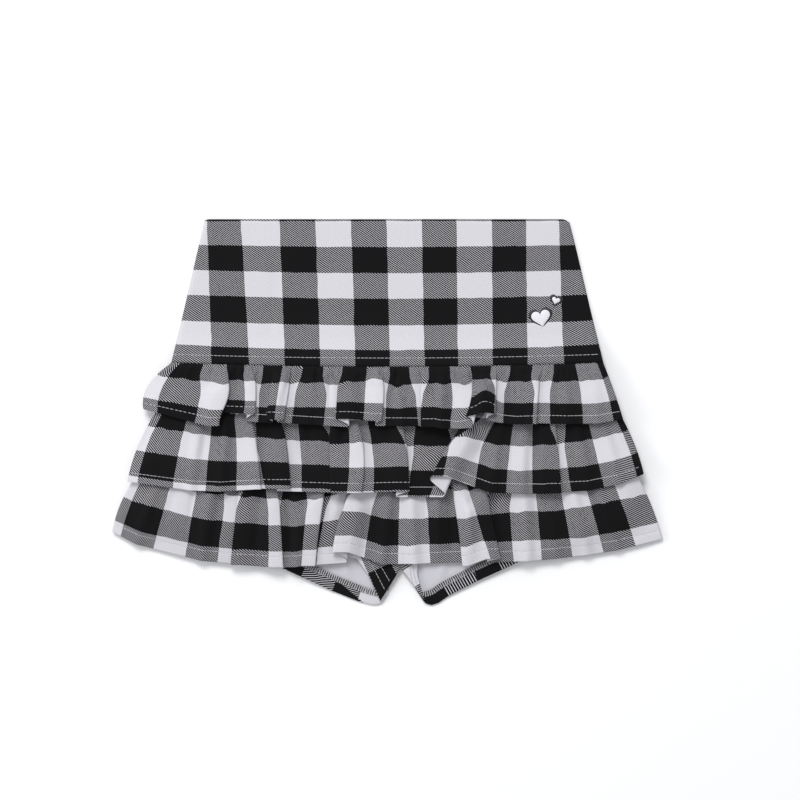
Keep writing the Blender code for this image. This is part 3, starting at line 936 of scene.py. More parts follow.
class FoldedRow:
    """One row of a tier, at a share of the way from its seam to its hem."""

    def __init__(self, tier: "RuffleTier", down: float) -> None:
        """Keep the tier and the share."""
        self.tier = tier
        self.down = down
        self.mid = tier.mid_share
        self.squeeze = mix(SEAM_SQUEEZE, 1.0, float(smooth(down / self.mid)))

    def across(self, item: Fold | Side) -> float:
        """Return x of a fold or side edge on this row: a parabola through its three xs."""
        down, mid = self.down, self.mid
        seam_part = (down - mid) * (down - 1.0) / mid
        mid_part = down * (down - 1.0) / (mid * (mid - 1.0))
        hem_part = down * (down - mid) / (1.0 - mid)
        return seam_part * item.seam_x + mid_part * item.mid_x + hem_part * item.hem_x

    def take(self, fold: Fold) -> float:
        """Return the length of cloth hidden by a fold on this row."""
        if self.down < self.mid:
            return fold.mid_take * float(smooth(self.down / self.mid))
        return mix(fold.mid_take, fold.hem_take, (self.down - self.mid) / (1.0 - self.mid))

    def turn(self, fold: Fold) -> tuple[float, float]:
        """Return the angle of each of a fold's turns and half the run between them.

        A fold starts flat at the seam, tips over first and only then slides under itself.
        """
        whole = 2.0 * math.pi * fold.size
        grown = min(1.0, self.down / self.mid)
        take = fold.mid_take if self.down < self.mid else self.take(fold)
        tipped = float(smooth(grown / TIPPED_SHARE))
        angle = math.pi * min(1.0, (take / whole) ** (1.0 / 3.0)) * tipped
        overlap = min(MOST_OVERLAP, max(0.0, (take - whole) / 2.0))
        slid = float(smooth((grown - SLIDE_SHARE) / (1.0 - SLIDE_SHARE)))
        return angle, max(LEAST_RUN, overlap * slid) / 2.0

    def level(self, fold: Fold) -> float:
        """Return the height of a fold's upper side over its lower side."""
        angle, run = self.turn(fold)
        return 2.0 * (run * math.sin(angle) + fold.size * (1.0 - math.cos(angle)))

    def folded(self, fold: Fold) -> list[Column]:
        """Work out the columns through a folded edge.

        Args:
            fold: The fold, which isn't an open wave.

        Returns:
            Place, x, rise and hem y of each column, from left to right along the strip.
        """
        angle, run = self.turn(fold)
        arc = fold.size * angle
        reach = run + arc
        half_x = run * math.cos(angle) + fold.size * math.sin(angle)
        half_z = run * math.sin(angle) + fold.size * (1.0 - math.cos(angle))
        spare = max(0.0, self.take(fold) - 2.0 * (reach - half_x))
        hand = 1.0 if fold.lies is Lies.LEFT else -1.0
        setback = hand * (run + fold.size) * float(smooth(angle / math.pi))
        centre = self.across(fold) - setback
        formed = float(smooth(angle / (FORMED_SHARE * math.pi)))
        squeeze = mix(self.squeeze, 1.0, formed)
        columns = []
        for sign in (-1.0, 1.0):
            steps = range(TURN_STEPS + 1)
            for step in (reversed(steps) if sign < 0 else steps):
                flat = SPREAD * (step + 0.5) * SPREAD_COLUMNS / (TURN_STEPS + 1)
                length = mix(flat, run + arc * step / TURN_STEPS, formed)
                if length <= run:
                    x, z = length * math.cos(angle), length * math.sin(angle)
                elif length < reach:
                    slope = (length - run) / fold.size - angle
                    x = run * math.cos(angle) + fold.size * (math.sin(slope) + math.sin(angle))
                    z = run * math.sin(angle) + fold.size * (math.cos(slope) - math.cos(angle))
                else:
                    x, z = half_x + length - reach, half_z
                hidden = length + spare / 2.0 * min(1.0, length / reach)
                side = 0.5 + 0.5 * sign * min(1.0, length / reach)
                if fold.tucked:
                    side = float(smooth(2.0 * side - (0.0 if hand < 0.0 else 1.0)))
                columns.append((
                    fold.place + (sign * hidden - setback) / SQUARE,
                    centre + sign * x * squeeze,
                    half_z - sign * hand * z,
                    mix(fold.left_y, fold.right_y, side),
                ))
        shelf = hand * mix(SPREAD, 2.0 * run + fold.size + SHELF_SPARE, formed)
        place, x, rise, hem_y = columns[0 if hand > 0 else -1]
        for share in ((1.0, 0.5) if hand > 0 else (0.5, 1.0)):
            out = shelf * share
            at = len(columns) if hand < 0 else int(share < 1.0)
            columns.insert(at, (place - out / SQUARE, x - out * squeeze, rise, hem_y))
        return columns

    def groups(self) -> list[list[Column]]:
        """Return the columns of each side edge and fold, from left to right."""
        left, right = self.tier.left, self.tier.right
        groups = [[(left.place, self.across(left), 0.0, left.hem_y)]]
        for fold in self.tier.folds:
            if fold.lies is Lies.SOFT:
                groups.append([(fold.place, self.across(fold), 0.0, fold.left_y)])
            else:
                groups.append(self.folded(fold))
        groups.append([(right.place, self.across(right), 0.0, right.hem_y)])
        return groups

    def fullness(self, number: float, x: float) -> float:
        """Return the height added at x by all folds but the one whose group has this number.

        A fold raises only the columns on its upper side, over the cloth that it hides, and its
        rise runs out beyond them.
        """
        height = 0.0
        for order, fold in enumerate(self.tier.folds, start=1):
            edge = self.across(fold)
            if fold.lies is Lies.SOFT:
                wide = (WAVE_BASE + WAVE_SLOPE * fold.size) * self.squeeze
                reach = min(1.0, abs(x - edge) / (wide / 2.0))
                grown = fold.size * float(smooth(self.down / self.mid))
                height += grown * (0.5 + 0.5 * math.cos(math.pi * reach))
            elif order != number and (number < order) == (fold.lies is Lies.LEFT):
                beyond = abs(edge - x) - 2.0 * (self.turn(fold)[1] + fold.size)
                height += self.level(fold) * (1.0 - float(smooth(beyond / RAMP)))
        return height

    def points(self, spans: Sequence[int]) -> list[Column]:
        """Work out every column of the row.

        Args:
            spans: How many columns lie between each two neighbouring groups.

        Returns:
            Place, x, rise and hem y of each column.
        """
        groups = self.groups()
        row = []
        for number, group in enumerate(groups):
            for place, x, rise, hem_y in group:
                row.append((place, x, rise + self.fullness(number, x), hem_y))
            if number == len(groups) - 1:
                break
            start, end = group[-1], groups[number + 1][0]
            for step in range(1, spans[number] + 1):
                share = step / (spans[number] + 1)
                place, x, _, hem_y = (mix(a, b, share) for a, b in zip(start, end))
                row.append((place, x, self.fullness(number + 0.5, x), hem_y))
        return row


@dataclass
class RuffleTier(Panel):
    """A gathered strip of the ruffle, from its seam down to its hem.

    Attributes:
        name: The node that it stands for.
        face: Which way its right side looks.
        seam_y: y of its seam at the sides.
        left: Its left side edge.
        right: Its right side edge.
        folds: Its folds from left to right.
        mid_share: The share of the way down at which the folds' middle xs lie.
        drop: Cut height of the strip from the seam to the hem.
        rows: Place along the strip, place in the check at the hem, down the cloth, and the
            length of check from the seam to the hem there.
        stitch_up: How far the hem's stitching is from the edge.
        creases: Its soft creases, in the place where they lie.
        pushes: Where it is pushed aside or up.
        gather: Mean depth of the small gathers at the seam.
        gather_step: Mean distance from one gather to the next.
        gather_reach: Mean length of a gather.
        tuck: How far the first row is tucked in under the seam above.
        seed: Start of the small gathers' unevenness.
        row_step: About how far apart the grid's rows are.
        hem_rows: Heights of the rows around the hem's stitching.
    """

    name: str
    face: Face
    seam_y: float
    left: Side
    right: Side
    folds: tuple[Fold, ...]
    mid_share: float
    drop: float
    rows: tuple[tuple[float, float, float], ...]
    stitch_up: float = STITCH_UP
    creases: tuple[Crease, ...] = ()
    pushes: tuple[Push, ...] = ()
    gather: float = 1.7
    gather_step: float = 4.4
    gather_reach: float = 16.0
    tuck: float = 0.9
    seed: int = 1
    row_step: float = 1.9
    hem_rows: tuple[float, ...] = (9.2, 8.0, 7.3, 6.7, 6.0, 5.0, 3.5, 1.8, 0.7)

    def row_shares(self) -> list[float]:
        """Return the rows' shares of the way down: even, and closer around the hem's stitching."""
        count = round((self.drop - self.hem_rows[0]) / self.row_step)
        above = self.stitch_up - STITCH_UP
        last = 1.0 - (self.hem_rows[0] + above) / self.drop
        shares = [last * number / count for number in range(count)]
        shares += [1.0 - (up + above) / self.drop for up in self.hem_rows[:ROWS_BY_STITCHES]]
        shares += [1.0 - up / self.drop for up in self.hem_rows[ROWS_BY_STITCHES:]]
        return sorted(shares + [1.0])

    def seam_line(self, x: Array) -> Array:
        """Return y of the seam, which sags like the yoke's."""
        return self.seam_y - YOKE_SEAM_SAG * (1.0 - (x / SEAM_HALF) ** 2)

    def span_counts(self) -> list[int]:
        """Return how many columns lie between each two neighbouring groups, by the widest row."""
        counts = []
        for down in (0.0, self.mid_share, 1.0):
            groups = FoldedRow(self, down).groups()
            counts.append([
                int(max(0.0, right[0][1] - left[-1][1]) // SPAN_STEP)
                for left, right in zip(groups, groups[1:])
            ])
        return [max(each) for each in zip(*counts)]

    def surface(self, bed: Bed) -> Surface:
        """Work out the tier's grid from its folds, gathers, creases and turned hem."""
        downs = self.row_shares()
        spans = self.span_counts()
        table = np.array([FoldedRow(self, down).points(spans) for down in downs])
        place, x, rise, hem_y = (table[:, :, k] for k in range(4))
        down = np.array(downs)[:, None]
        y = mix(self.seam_line(x), hem_y, down)
        floor = bed.middle(x, y)
        z = floor + rise + GATHER_RISE + self.gathers(place * SQUARE, down)
        z = np.maximum(z, floor) + self.hem(place * SQUARE, down)
        for crease in self.creases:
            z = z + crease.height(x, y)
        for push in self.pushes:
            aside, along_y, up = push.shift(x, y)
            x, y, z = x + aside, y + along_y, z + up
        tucked = 1.0 - np.clip(down * self.drop / TUCK_LENGTH, 0.0, 1.0)
        z = z - self.tuck * tucked * (1.0 if self.face is Face.UP else BACK_TUCK)
        points = np.stack([x, y + self.tuck * (down == 0.0), np.maximum(z, SHELL / 2)], axis=-1)
        return Surface(points, self.pattern(place, down), place * SQUARE, np.array(downs))

    def pattern(self, place: Array, down: Array) -> Array:
        """The gathers pull the rows of squares up unevenly, and less and less towards the hem.
        """
        places, ends, lengths = zip(*self.rows)
        high = np.interp(place, places, ends) - (1.0 - down) * np.interp(place, places, lengths)
        # Two waves that don't repeat together, so that no two squares are pulled alike
        pulled = np.sin(7.9 * place + self.seed) + 0.7 * np.sin(13.7 * place + 2.0 * self.seed)
        high = high + ROW_PULL * pulled * (1.0 - smooth(down * ROW_PULL_END))
        return np.stack([place * SQUARE, high], axis=-1)

    def gathers(self, along_strip: Array, down: Array) -> Array:
        """Return the height of the small gathers, which are uneven and run out below the seam.

        Args:
            along_strip: Place of each point along the strip.
            down: Share of the way down of each row.

        Returns:
            The height at each point.
        """
        chance = random.Random(self.seed)
        height = np.zeros(along_strip.shape)
        middle = self.left.place * SQUARE
        while middle < self.right.place * SQUARE:
            deep = self.gather * chance.uniform(*GATHER_DEPTHS)
            length = self.gather_reach / self.drop * chance.uniform(*GATHER_LENGTHS)
            lean = chance.uniform(*GATHER_LEANS)
            wide = chance.uniform(*GATHER_WIDTHS)
            off = (along_strip - middle - lean * down) / wide
            height -= deep * np.exp(-(off**2)) * (1.0 - smooth(down / length))
            middle += self.gather_step * chance.uniform(*GATHER_STEPS)
        away = down * self.drop
        puffed = smooth(away / PUFF_RISE) * (1.0 - smooth(away / (PUFF_REACH * self.gather_reach)))
        return height + self.gather * puffed

    def hem(self, along_strip: Array, down: Array) -> Array:
        """Return the height that the turned hem and its pulled stitching add.

        Args:
            along_strip: Place of each point along the strip.
            down: Share of the way down of each row.

        Returns:
            The height at each point.
        """
        up = (1.0 - down) * self.drop
        off = up - self.stitch_up
        doubled = DOUBLED_RISE * smooth((DOUBLED_SPARE - off) / DOUBLED_EASE)
        pulled = -STITCH_SINK * np.exp(-((off / STITCH_REACH) ** 2))
        # Two slow waves whose pace wanders, so that no two puckers are alike
        ripple = np.sin(along_strip * 0.83 + 2.0 * np.sin(along_strip * 0.071))
        ripple = ripple + 0.6 * np.sin(along_strip * 1.31 + 1.5 * np.sin(along_strip * 0.043))
        return doubled + pulled + PUCKER * ripple * np.exp(-((off / PUCKER_REACH) ** 2))

    def back(self) -> "RuffleTier":
        """Return the back of this tier: the same strip under the garment, in even open waves."""
        left = self.left
        strip = (self.right.place - left.place) * BACK_FULLNESS
        right = replace(self.right, place=left.place + strip)
        known = [(left.hem_x, left.hem_y)]
        known += [(fold.hem_x, max(fold.left_y, fold.right_y)) for fold in self.folds]
        known.append((right.hem_x, right.hem_y))
        folds = []
        for number in range(BACK_WAVES):
            shift = BACK_WAVE_SHIFT * math.sin(BACK_WAVE_TURN * number)
            share = (number + 0.5 + shift) / BACK_WAVES
            hem_x = mix(left.hem_x, right.hem_x, share)
            hem_y = float(np.interp(hem_x, *zip(*known))) + BACK_HEM_LIFT
            folds.append(Fold(
                Lies.SOFT, mix(left.place, right.place, share),
                mix(left.seam_x, right.seam_x, share), mix(left.mid_x, right.mid_x, share),
                hem_x, hem_y, hem_y, BACK_WAVE_TAKE, BACK_WAVE_TAKE, BACK_WAVE_HEIGHT,
            ))
        inset = BACK_SIDE_INSET
        return replace(
            self,
            name=self.name.replace("front", "back"),
            face=Face.DOWN,
            left=Side(left.place, left.seam_x + inset, left.mid_x + inset, left.hem_x + inset,
                      left.hem_y + BACK_HEM_LIFT),
            right=Side(right.place, right.seam_x - inset, right.mid_x - inset,
                       right.hem_x - inset, right.hem_y + BACK_HEM_LIFT),
            folds=tuple(folds),
            creases=tuple(crease.behind() for crease in self.creases),
            pushes=(),
            gather=BACK_GATHER,
            seed=self.seed + BACK_SEED,
        )


@dataclass(frozen=True)
class Grain:
    """How the check lies on a flat piece.

    Attributes:
        across: Unit direction that crosses its warp stripes.
        stripes: Distances in that direction at which stripes begin.
        first_stripe: Number of the stripe that begins at the first of them; odd ones are black.
        down: Unit direction that crosses its weft stripes.
        rows: Distances in that direction at which rows begin.
        first_row: Number of the row that begins at the first of them; even ones are black.
    """

    across: Point
    stripes: tuple[float, ...]
    first_stripe: int
    down: Point
    rows: tuple[float, ...]
    first_row: int

    def place(self, x: Array, y: Array) -> Array:
        wide = self.count(x * self.across[0] + y * self.across[1], self.stripes, SQUARE)
        high = self.count(x * self.down[0] + y * self.down[1], self.rows, SQUARE_HIGH)
        wide, high = wide + self.first_stripe, high + self.first_row
        return np.stack([wide * SQUARE, high * SQUARE_HIGH], axis=-1)

    def count(self, distance: Array, edges: tuple[float, ...], size: float) -> Array:
        """Return how many squares lie before a distance, of their plain size past the edges."""
        before = np.minimum(0.0, distance - edges[0]) / size
        beyond = np.maximum(0.0, distance - edges[-1]) / size
        return squares_before(distance, edges) + before + beyond


@dataclass
class ShortsLeg(Panel):
    """A front or back panel of the shorts, from the yoke seam to the hem of its leg.

    Attributes:
        name: The node that it stands for.
        face: Which way its right side looks.
        side: The side line, from the yoke down.
        hem: The hem line, from the side to the inner leg.
        grain: How the check lies on it.
        turned: How the check lies on the hem turned up on the inside, where it is.
        creases: Its soft creases.
        columns: How many columns of points its grid has.
        rows: How many rows it has down to the hem.
    """

    name: str
    face: Face
    side: tuple[Point, ...]
    hem: tuple[Point, ...]
    grain: Grain
    turned: Grain | None = None
    creases: tuple[Crease, ...] = ()
    columns: int = 96
    rows: int = 80

    def leg_point(self, across: float, down: float) -> Array:
        """Find a point of the panel, as a patch between its side, centre, seam and hem.

        Args:
            across: 0 at the side and 1 at the centre line.
            down: 0 at the yoke seam and 1 at the hem.

        Returns:
            Its x and y.
        """
        hand = math.copysign(SEAM_GAP, self.side[0][0])
        seam_centre = np.array((hand, yoke_seam_y(0.0) - 2 * SEAM_GAP))
        crotch = np.array((CROTCH[0] + hand, CROTCH[1]))
        if down <= CROTCH_SHARE:
            centre = mix(seam_centre, crotch, down / CROTCH_SHARE)
        else:
            share = (down - CROTCH_SHARE) / (1.0 - CROTCH_SHARE)
            centre = mix(crotch, np.array(self.hem[-1]), share)
        seam_x = mix(self.side[0][0], seam_centre[0], across)
        seam_point = np.array((seam_x, yoke_seam_y(seam_x) - 2 * SEAM_GAP))
        ruled = mix(seam_point, np.array(along(self.hem, across)), down)
        ruled = ruled + mix(np.array(along(self.side, down)), centre, across)
        upper = mix(np.array(self.side[0]), seam_centre, across)
        lower = mix(np.array(self.hem[0]), np.array(self.hem[-1]), across)
        return ruled - mix(upper, lower, down)

    def hem_length(self) -> float:
        """Return the length of the hem."""
        return sum(math.dist(*pair) for pair in zip(self.hem, self.hem[1:]))

    def cut_size(self) -> tuple[tuple[float, float], float]:
        """Return the width and length of the cut in metres, and its area in square metres."""
        points = self.laid.points[:, :, :2] * MM
        first, second = points[1:, 1:] - points[:-1, :-1], points[1:, :-1] - points[:-1, 1:]
        area = np.abs(first[..., 0] * second[..., 1] - first[..., 1] * second[..., 0]).sum() / 2.0
        width, length = np.ptp(points.reshape(-1, 2), axis=0)
        if self.turned is not None:
            length += HEM_TURN * MM
        return (float(width), float(length)), float(area)

    def surface(self, bed: Bed) -> Surface:
        """Work out the leg's grid, with the turned part of its hem as further rows."""
        shares = np.linspace(0.0, 1.0, self.columns)
        downs = list(np.linspace(0.0, 1.0, self.rows))
        base = np.array([[self.leg_point(a, d) for a in shares] for d in downs])
        flat, lift, cut = list(base), [np.zeros(self.columns) for _ in downs], list(base)
        if self.turned is not None:
            above = np.array([self.leg_point(a, HEM_ABOVE) for a in shares])
            away = base[-1] - above
            away = away / np.linalg.norm(away, axis=1, keepdims=True)
            for turn in map(math.radians, HEM_TURN_ANGLES):
                flat.append(base[-1] + away * HEM_RADIUS * math.cos(turn))
                lift.append(np.full(self.columns, HEM_RADIUS * (1.0 + math.sin(turn))))
                cut.append(base[-1] + away * HEM_RADIUS * (turn + math.pi / 2))
                downs.append(1.0 + HEM_DOWN_STEP * (turn + math.pi / 2))
            for share in (step / HEM_STEPS for step in range(1, HEM_STEPS + 1)):
                back = HEM_TURN * share
                rise = 2 * HEM_RADIUS + HEM_PUFF * math.sin(math.pi * share)
                flat.append(base[-1] - away * back)
                lift.append(np.full(self.columns, rise))
                cut.append(base[-1] + away * (back + math.pi * HEM_RADIUS))
                downs.append(HEM_DOWN_START + HEM_DOWN_STEP * back)
        flat, lift, cut = np.array(flat), np.array(lift), np.array(cut)
        x, y = flat[:, :, 0], flat[:, :, 1]
        z = np.maximum(bed.middle(x, y) + lift, SHELL / 2)
        for crease in self.creases:
            z = z + crease.height(x, y)
        points = np.stack([x, y, z], axis=-1)
        pattern = self.grain.place(cut[:, :, 0], cut[:, :, 1])
        if self.turned is not None:
            folded = self.turned.place(x, y)
            pattern[self.rows:] = folded[self.rows:]
        across = np.broadcast_to(shares[None, :] * self.hem_length(), x.shape)
        if self.side[0][0] > 0.0:
            points, pattern = points[:, ::-1], pattern[:, ::-1]
        return Surface(points, pattern, across, np.array(downs))


@dataclass(frozen=True)
class Run:
    """Where a row of stitches runs on a surface.

    Attributes:
        start: Where it begins across.
        end: Where it ends.
        down: How far down the cloth it lies.
        up: Whether it lies on the upper side of the cloth.
        seed: Start of the stitches' unevenness.
    """

    start: float
    end: float
    down: float
    up: bool
    seed: int


@dataclass
class StitchLine:
    """A run of straight stitches laid along a panel.

    Attributes:
        name: Name of the piece.
        finish: The thread.
        pitch: From the start of one stitch to the next.
        length: Length of the thread that shows of each.
        thickness: Thickness of the thread.
        sunk: How far its middle lies over the middle of the cloth.
        phase: How far along its pitch the first stitch lies.
    """

    name: str
    finish: SewingThread = SewingThread()
    pitch: float = 3.1
    length: float = 2.9
    thickness: float = 0.48
    sunk: float = 0.4
    phase: float = 0.5

    def sew(self, surface: Surface, run: Run) -> bpy.types.Object:
        """Lay all the stitches of a run, as one object.

        Args:
            surface: The cloth.
            run: Where they run.

        Returns:
            The stitches.
        """
        grain = bmesh.new()
        bmesh.ops.create_uvsphere(grain, u_segments=6, v_segments=5, radius=0.5)
        bmesh.ops.rotate(grain, verts=grain.verts, matrix=Matrix.Rotation(math.pi / 2, 3, "Y"))
        shape = bpy.data.meshes.new("stitch")
        grain.to_mesh(shape)
        grain.free()
        row = bmesh.new()
        marks = self.marks(surface, run)
        for position, direction, normal in marks:
            side = normal.cross(direction).normalized()
            turn = Matrix((direction, side, normal)).transposed().to_4x4()
            size = Matrix.Diagonal((self.length, self.thickness, self.thickness, 1.0))
            centre = Matrix.Translation(position + normal * self.sunk)
            place = Matrix.Scale(MM, 4) @ centre @ turn @ size
            shape.transform(place)
            row.from_mesh(shape)
            shape.transform(place.inverted())
        bpy.data.meshes.remove(shape)
        LOG.info("%s: %d stitches", self.name, len(marks))
        return bind(add_piece(self.name, row, self.finish))

    def marks(self, surface: Surface, run: Run) -> list[Mark]:
        """Place the stitches of a run.

        Args:
            surface: The cloth.
            run: Where they run.

        Returns:
            Position, direction and normal of each, in millimetres.
        """
        chance = random.Random(run.seed)
        found = []
        for number in range(int((run.end - run.start) / self.pitch)):
            shift = chance.uniform(-STITCH_SHIFT, STITCH_SHIFT)
            across = run.start + (number + self.phase + shift) * self.pitch
            point, direction, normal = surface.frame_at(across, run.down, self.length / 3)
            # Where the cloth turns back on itself there is no direction to sew in.
            if direction.length > NO_LENGTH:
                found.append((point, direction, normal if run.up else -normal))
        return found


@dataclass
class Overlock(StitchLine):
    """A row of threads over a raw edge: short bars that cross it, close together.

    Attributes:
        pitch: From one bar to the next.
        length: Length of a bar.
        thickness: Thickness of its thread.
    """

    pitch: float = 1.75
    length: float = 5.2
    thickness: float = 0.8

    def marks(self, surface: Surface, run: Run) -> list[Mark]:
        """Place the bars of a run, across it and each a little askew.

        Args:
            surface: The cloth.
            run: Where they run.

        Returns:
            Position, direction and normal of each, in millimetres.
        """
        chance = random.Random(run.seed)
        found = []
        for point, direction, normal in super().marks(surface, run):
            askew = math.radians(90.0 + chance.uniform(-BAR_ASKEW, BAR_ASKEW))
            found.append((point, Matrix.Rotation(askew, 3, normal) @ direction, normal))
        return found


@dataclass
class EmbroideredHeart:
    """A small heart in padded satin stitch: a white one on a slightly larger black one.

    Attributes:
        name: Name of its pieces.
        centre: x and y of its middle.
        width: Width of the black heart.
        turn: How far it is turned to the left, in degrees.
        border: How far the black one shows around the white one.
        heights: How far the middle of the black and the white one stands out from the cloth.
        under: How deep both reach below its surface.
    """

    name: str
    centre: Point
    width: float
    turn: float
    border: float = 1.5
    heights: Point = (0.9, 1.5)
    under: float = 0.2

    def build(self, surface: Surface) -> list[bpy.types.Object]:
        """Sew both hearts onto a surface and return them."""
        level = self.level(surface)
        white = SewingThread("#E6E5EA", "rayon_embroidery_thread_white", 0.45)
        black = SewingThread("#101011", "rayon_embroidery_thread_black", 0.45)
        # The notch and the tip take more of the border than the sides do.
        inner = self.width - 2.4 * self.border
        return [
            self.heart("black", black, self.width, self.heights[0], level),
            self.heart("white", white, inner, self.heights[1], level),
        ]

    def level(self, surface: Surface) -> float:
        """Return the height of the cloth under the middle of the heart."""
        away = np.hypot(
            surface.points[:, :, 0] - self.centre[0], surface.points[:, :, 1] - self.centre[1]
        )
        return float(surface.points[:, :, 2].flat[int(np.argmin(away))])

    def outline(self, angle: float) -> Point:
        """Return the edge of a heart of width 1 at an angle of the usual heart curve."""
        x = 16.0 * math.sin(angle) ** 3
        y = 13.0 * math.cos(angle) - 5.0 * math.cos(2 * angle)
        y -= 2.0 * math.cos(3 * angle) + math.cos(4 * angle)
        return x / 32.0, (y + 2.0) / 32.0

    def heart(
        self, colour: str, finish: SewingThread, width: float, height: float, level: float
    ) -> bpy.types.Object:
        """Make one domed heart.

        Args:
            colour: The colour's name.
            finish: Its thread.
            width: Its width.
            height: How far its middle stands out from the cloth.
            level: Height of the cloth.

        Returns:
            The heart.
        """
        dome = bmesh.new()
        bmesh.ops.create_uvsphere(dome, u_segments=56, v_segments=14, radius=1.0)
        turn = Matrix.Rotation(math.radians(self.turn), 3, "Z")
        centre = Vector((*self.centre, level + SHELL / 2))
        for vertex in dome.verts:
            out = math.hypot(vertex.co.x, vertex.co.y)
            edge = self.outline(math.atan2(vertex.co.x, vertex.co.y))
            flat = Vector((edge[0] * out * width, edge[1] * out * width, 0.0))
            thick = height if vertex.co.z > 0.0 else self.under
            # The power gives the dome a flat top and full sides, as padding does.
            flat.z = thick * math.copysign(abs(vertex.co.z) ** 0.6, vertex.co.z)
            vertex.co = (centre + turn @ flat) * MM
        return bind(add_piece(f"{self.name}_{colour}", dome, finish))


@dataclass(frozen=True)
class Softbox:
    """A square softbox that looks at the garment.

    Attributes:
        name: Its name.
        place: Where it hangs.
        size: Length of its side.
        power: Its power in watts.
    """

    name: str
    place: tuple[float, float, float]
    size: float
    power: float

    def hang(self) -> None:
        """Hang it in the studio."""
        data = bpy.data.lights.new(self.name, "AREA")
        data.shape = "SQUARE"
        data.size = self.size * MM
        data.energy = self.power
        lamp = bpy.data.objects.new(self.name, data)
        lamp.location = [length * MM for length in self.place]
        lamp.rotation_euler = (-Vector(self.place)).to_track_quat("-Z", "Y").to_euler()
        bpy.context.scene.collection.objects.link(lamp)


@dataclass
class Studio:
    """The table, the light and the camera straight above the garment.

    Attributes:
        centre: x and y under the middle of the picture.
        width: Width of the picture on the table.
        level: Height at which that width is true.
        distance: From that level up to the camera.
        sensor: Width of the camera's sensor.
        air: Colour and strength of the light from all around.
        lamps: Its softboxes.
    """

    centre: Point = (9.9, 9.0)
    width: float = 624.0
    level: float = 12.0
    distance: float = 2500.0
    sensor: float = 36.0
    air: tuple[str, float] = ("#FBFCFF", 0.62)
    lamps: tuple[Softbox, ...] = (
        Softbox("ceiling_softbox", (-900.0, 2600.0, 3400.0), 1600.0, 118.0),
        Softbox("side_softbox", (-3200.0, 300.0, 1900.0), 1300.0, 30.0),
    )

    def build(self) -> None:
        """Make the table, the lights and the camera."""
        self.table()
        for lamp in self.lamps:
            lamp.hang()
        world = bpy.data.worlds.new("studio_air")
        world.use_nodes = True
        air = world.node_tree.nodes["Background"]
        air.inputs["Color"].default_value = linear(self.air[0])
        air.inputs["Strength"].default_value = self.air[1]
        bpy.context.scene.world = world
        # A product photo keeps its colours as they are.
        bpy.context.scene.view_settings.view_transform = "Standard"
        data = bpy.data.cameras.new("camera")
        data.sensor_width = self.sensor
        data.lens = self.sensor * self.distance / self.width
        data.clip_start, data.clip_end = 0.05, 20.0
        camera = bpy.data.objects.new("camera", data)
        camera.location = Vector((*self.centre, self.level + self.distance)) * MM
        bpy.context.scene.collection.objects.link(camera)
        bpy.context.scene.camera = camera

    def table(self) -> None:
        """Make the pale table top, three metres each way from the middle."""
        top = bmesh.new()
        bmesh.ops.create_grid(top, x_segments=1, y_segments=1, size=3.0)
        add_piece("table_top", top, FloorPaint())


LEFT, RIGHT, SOFT = Lies.LEFT, Lies.RIGHT, Lies.SOFT

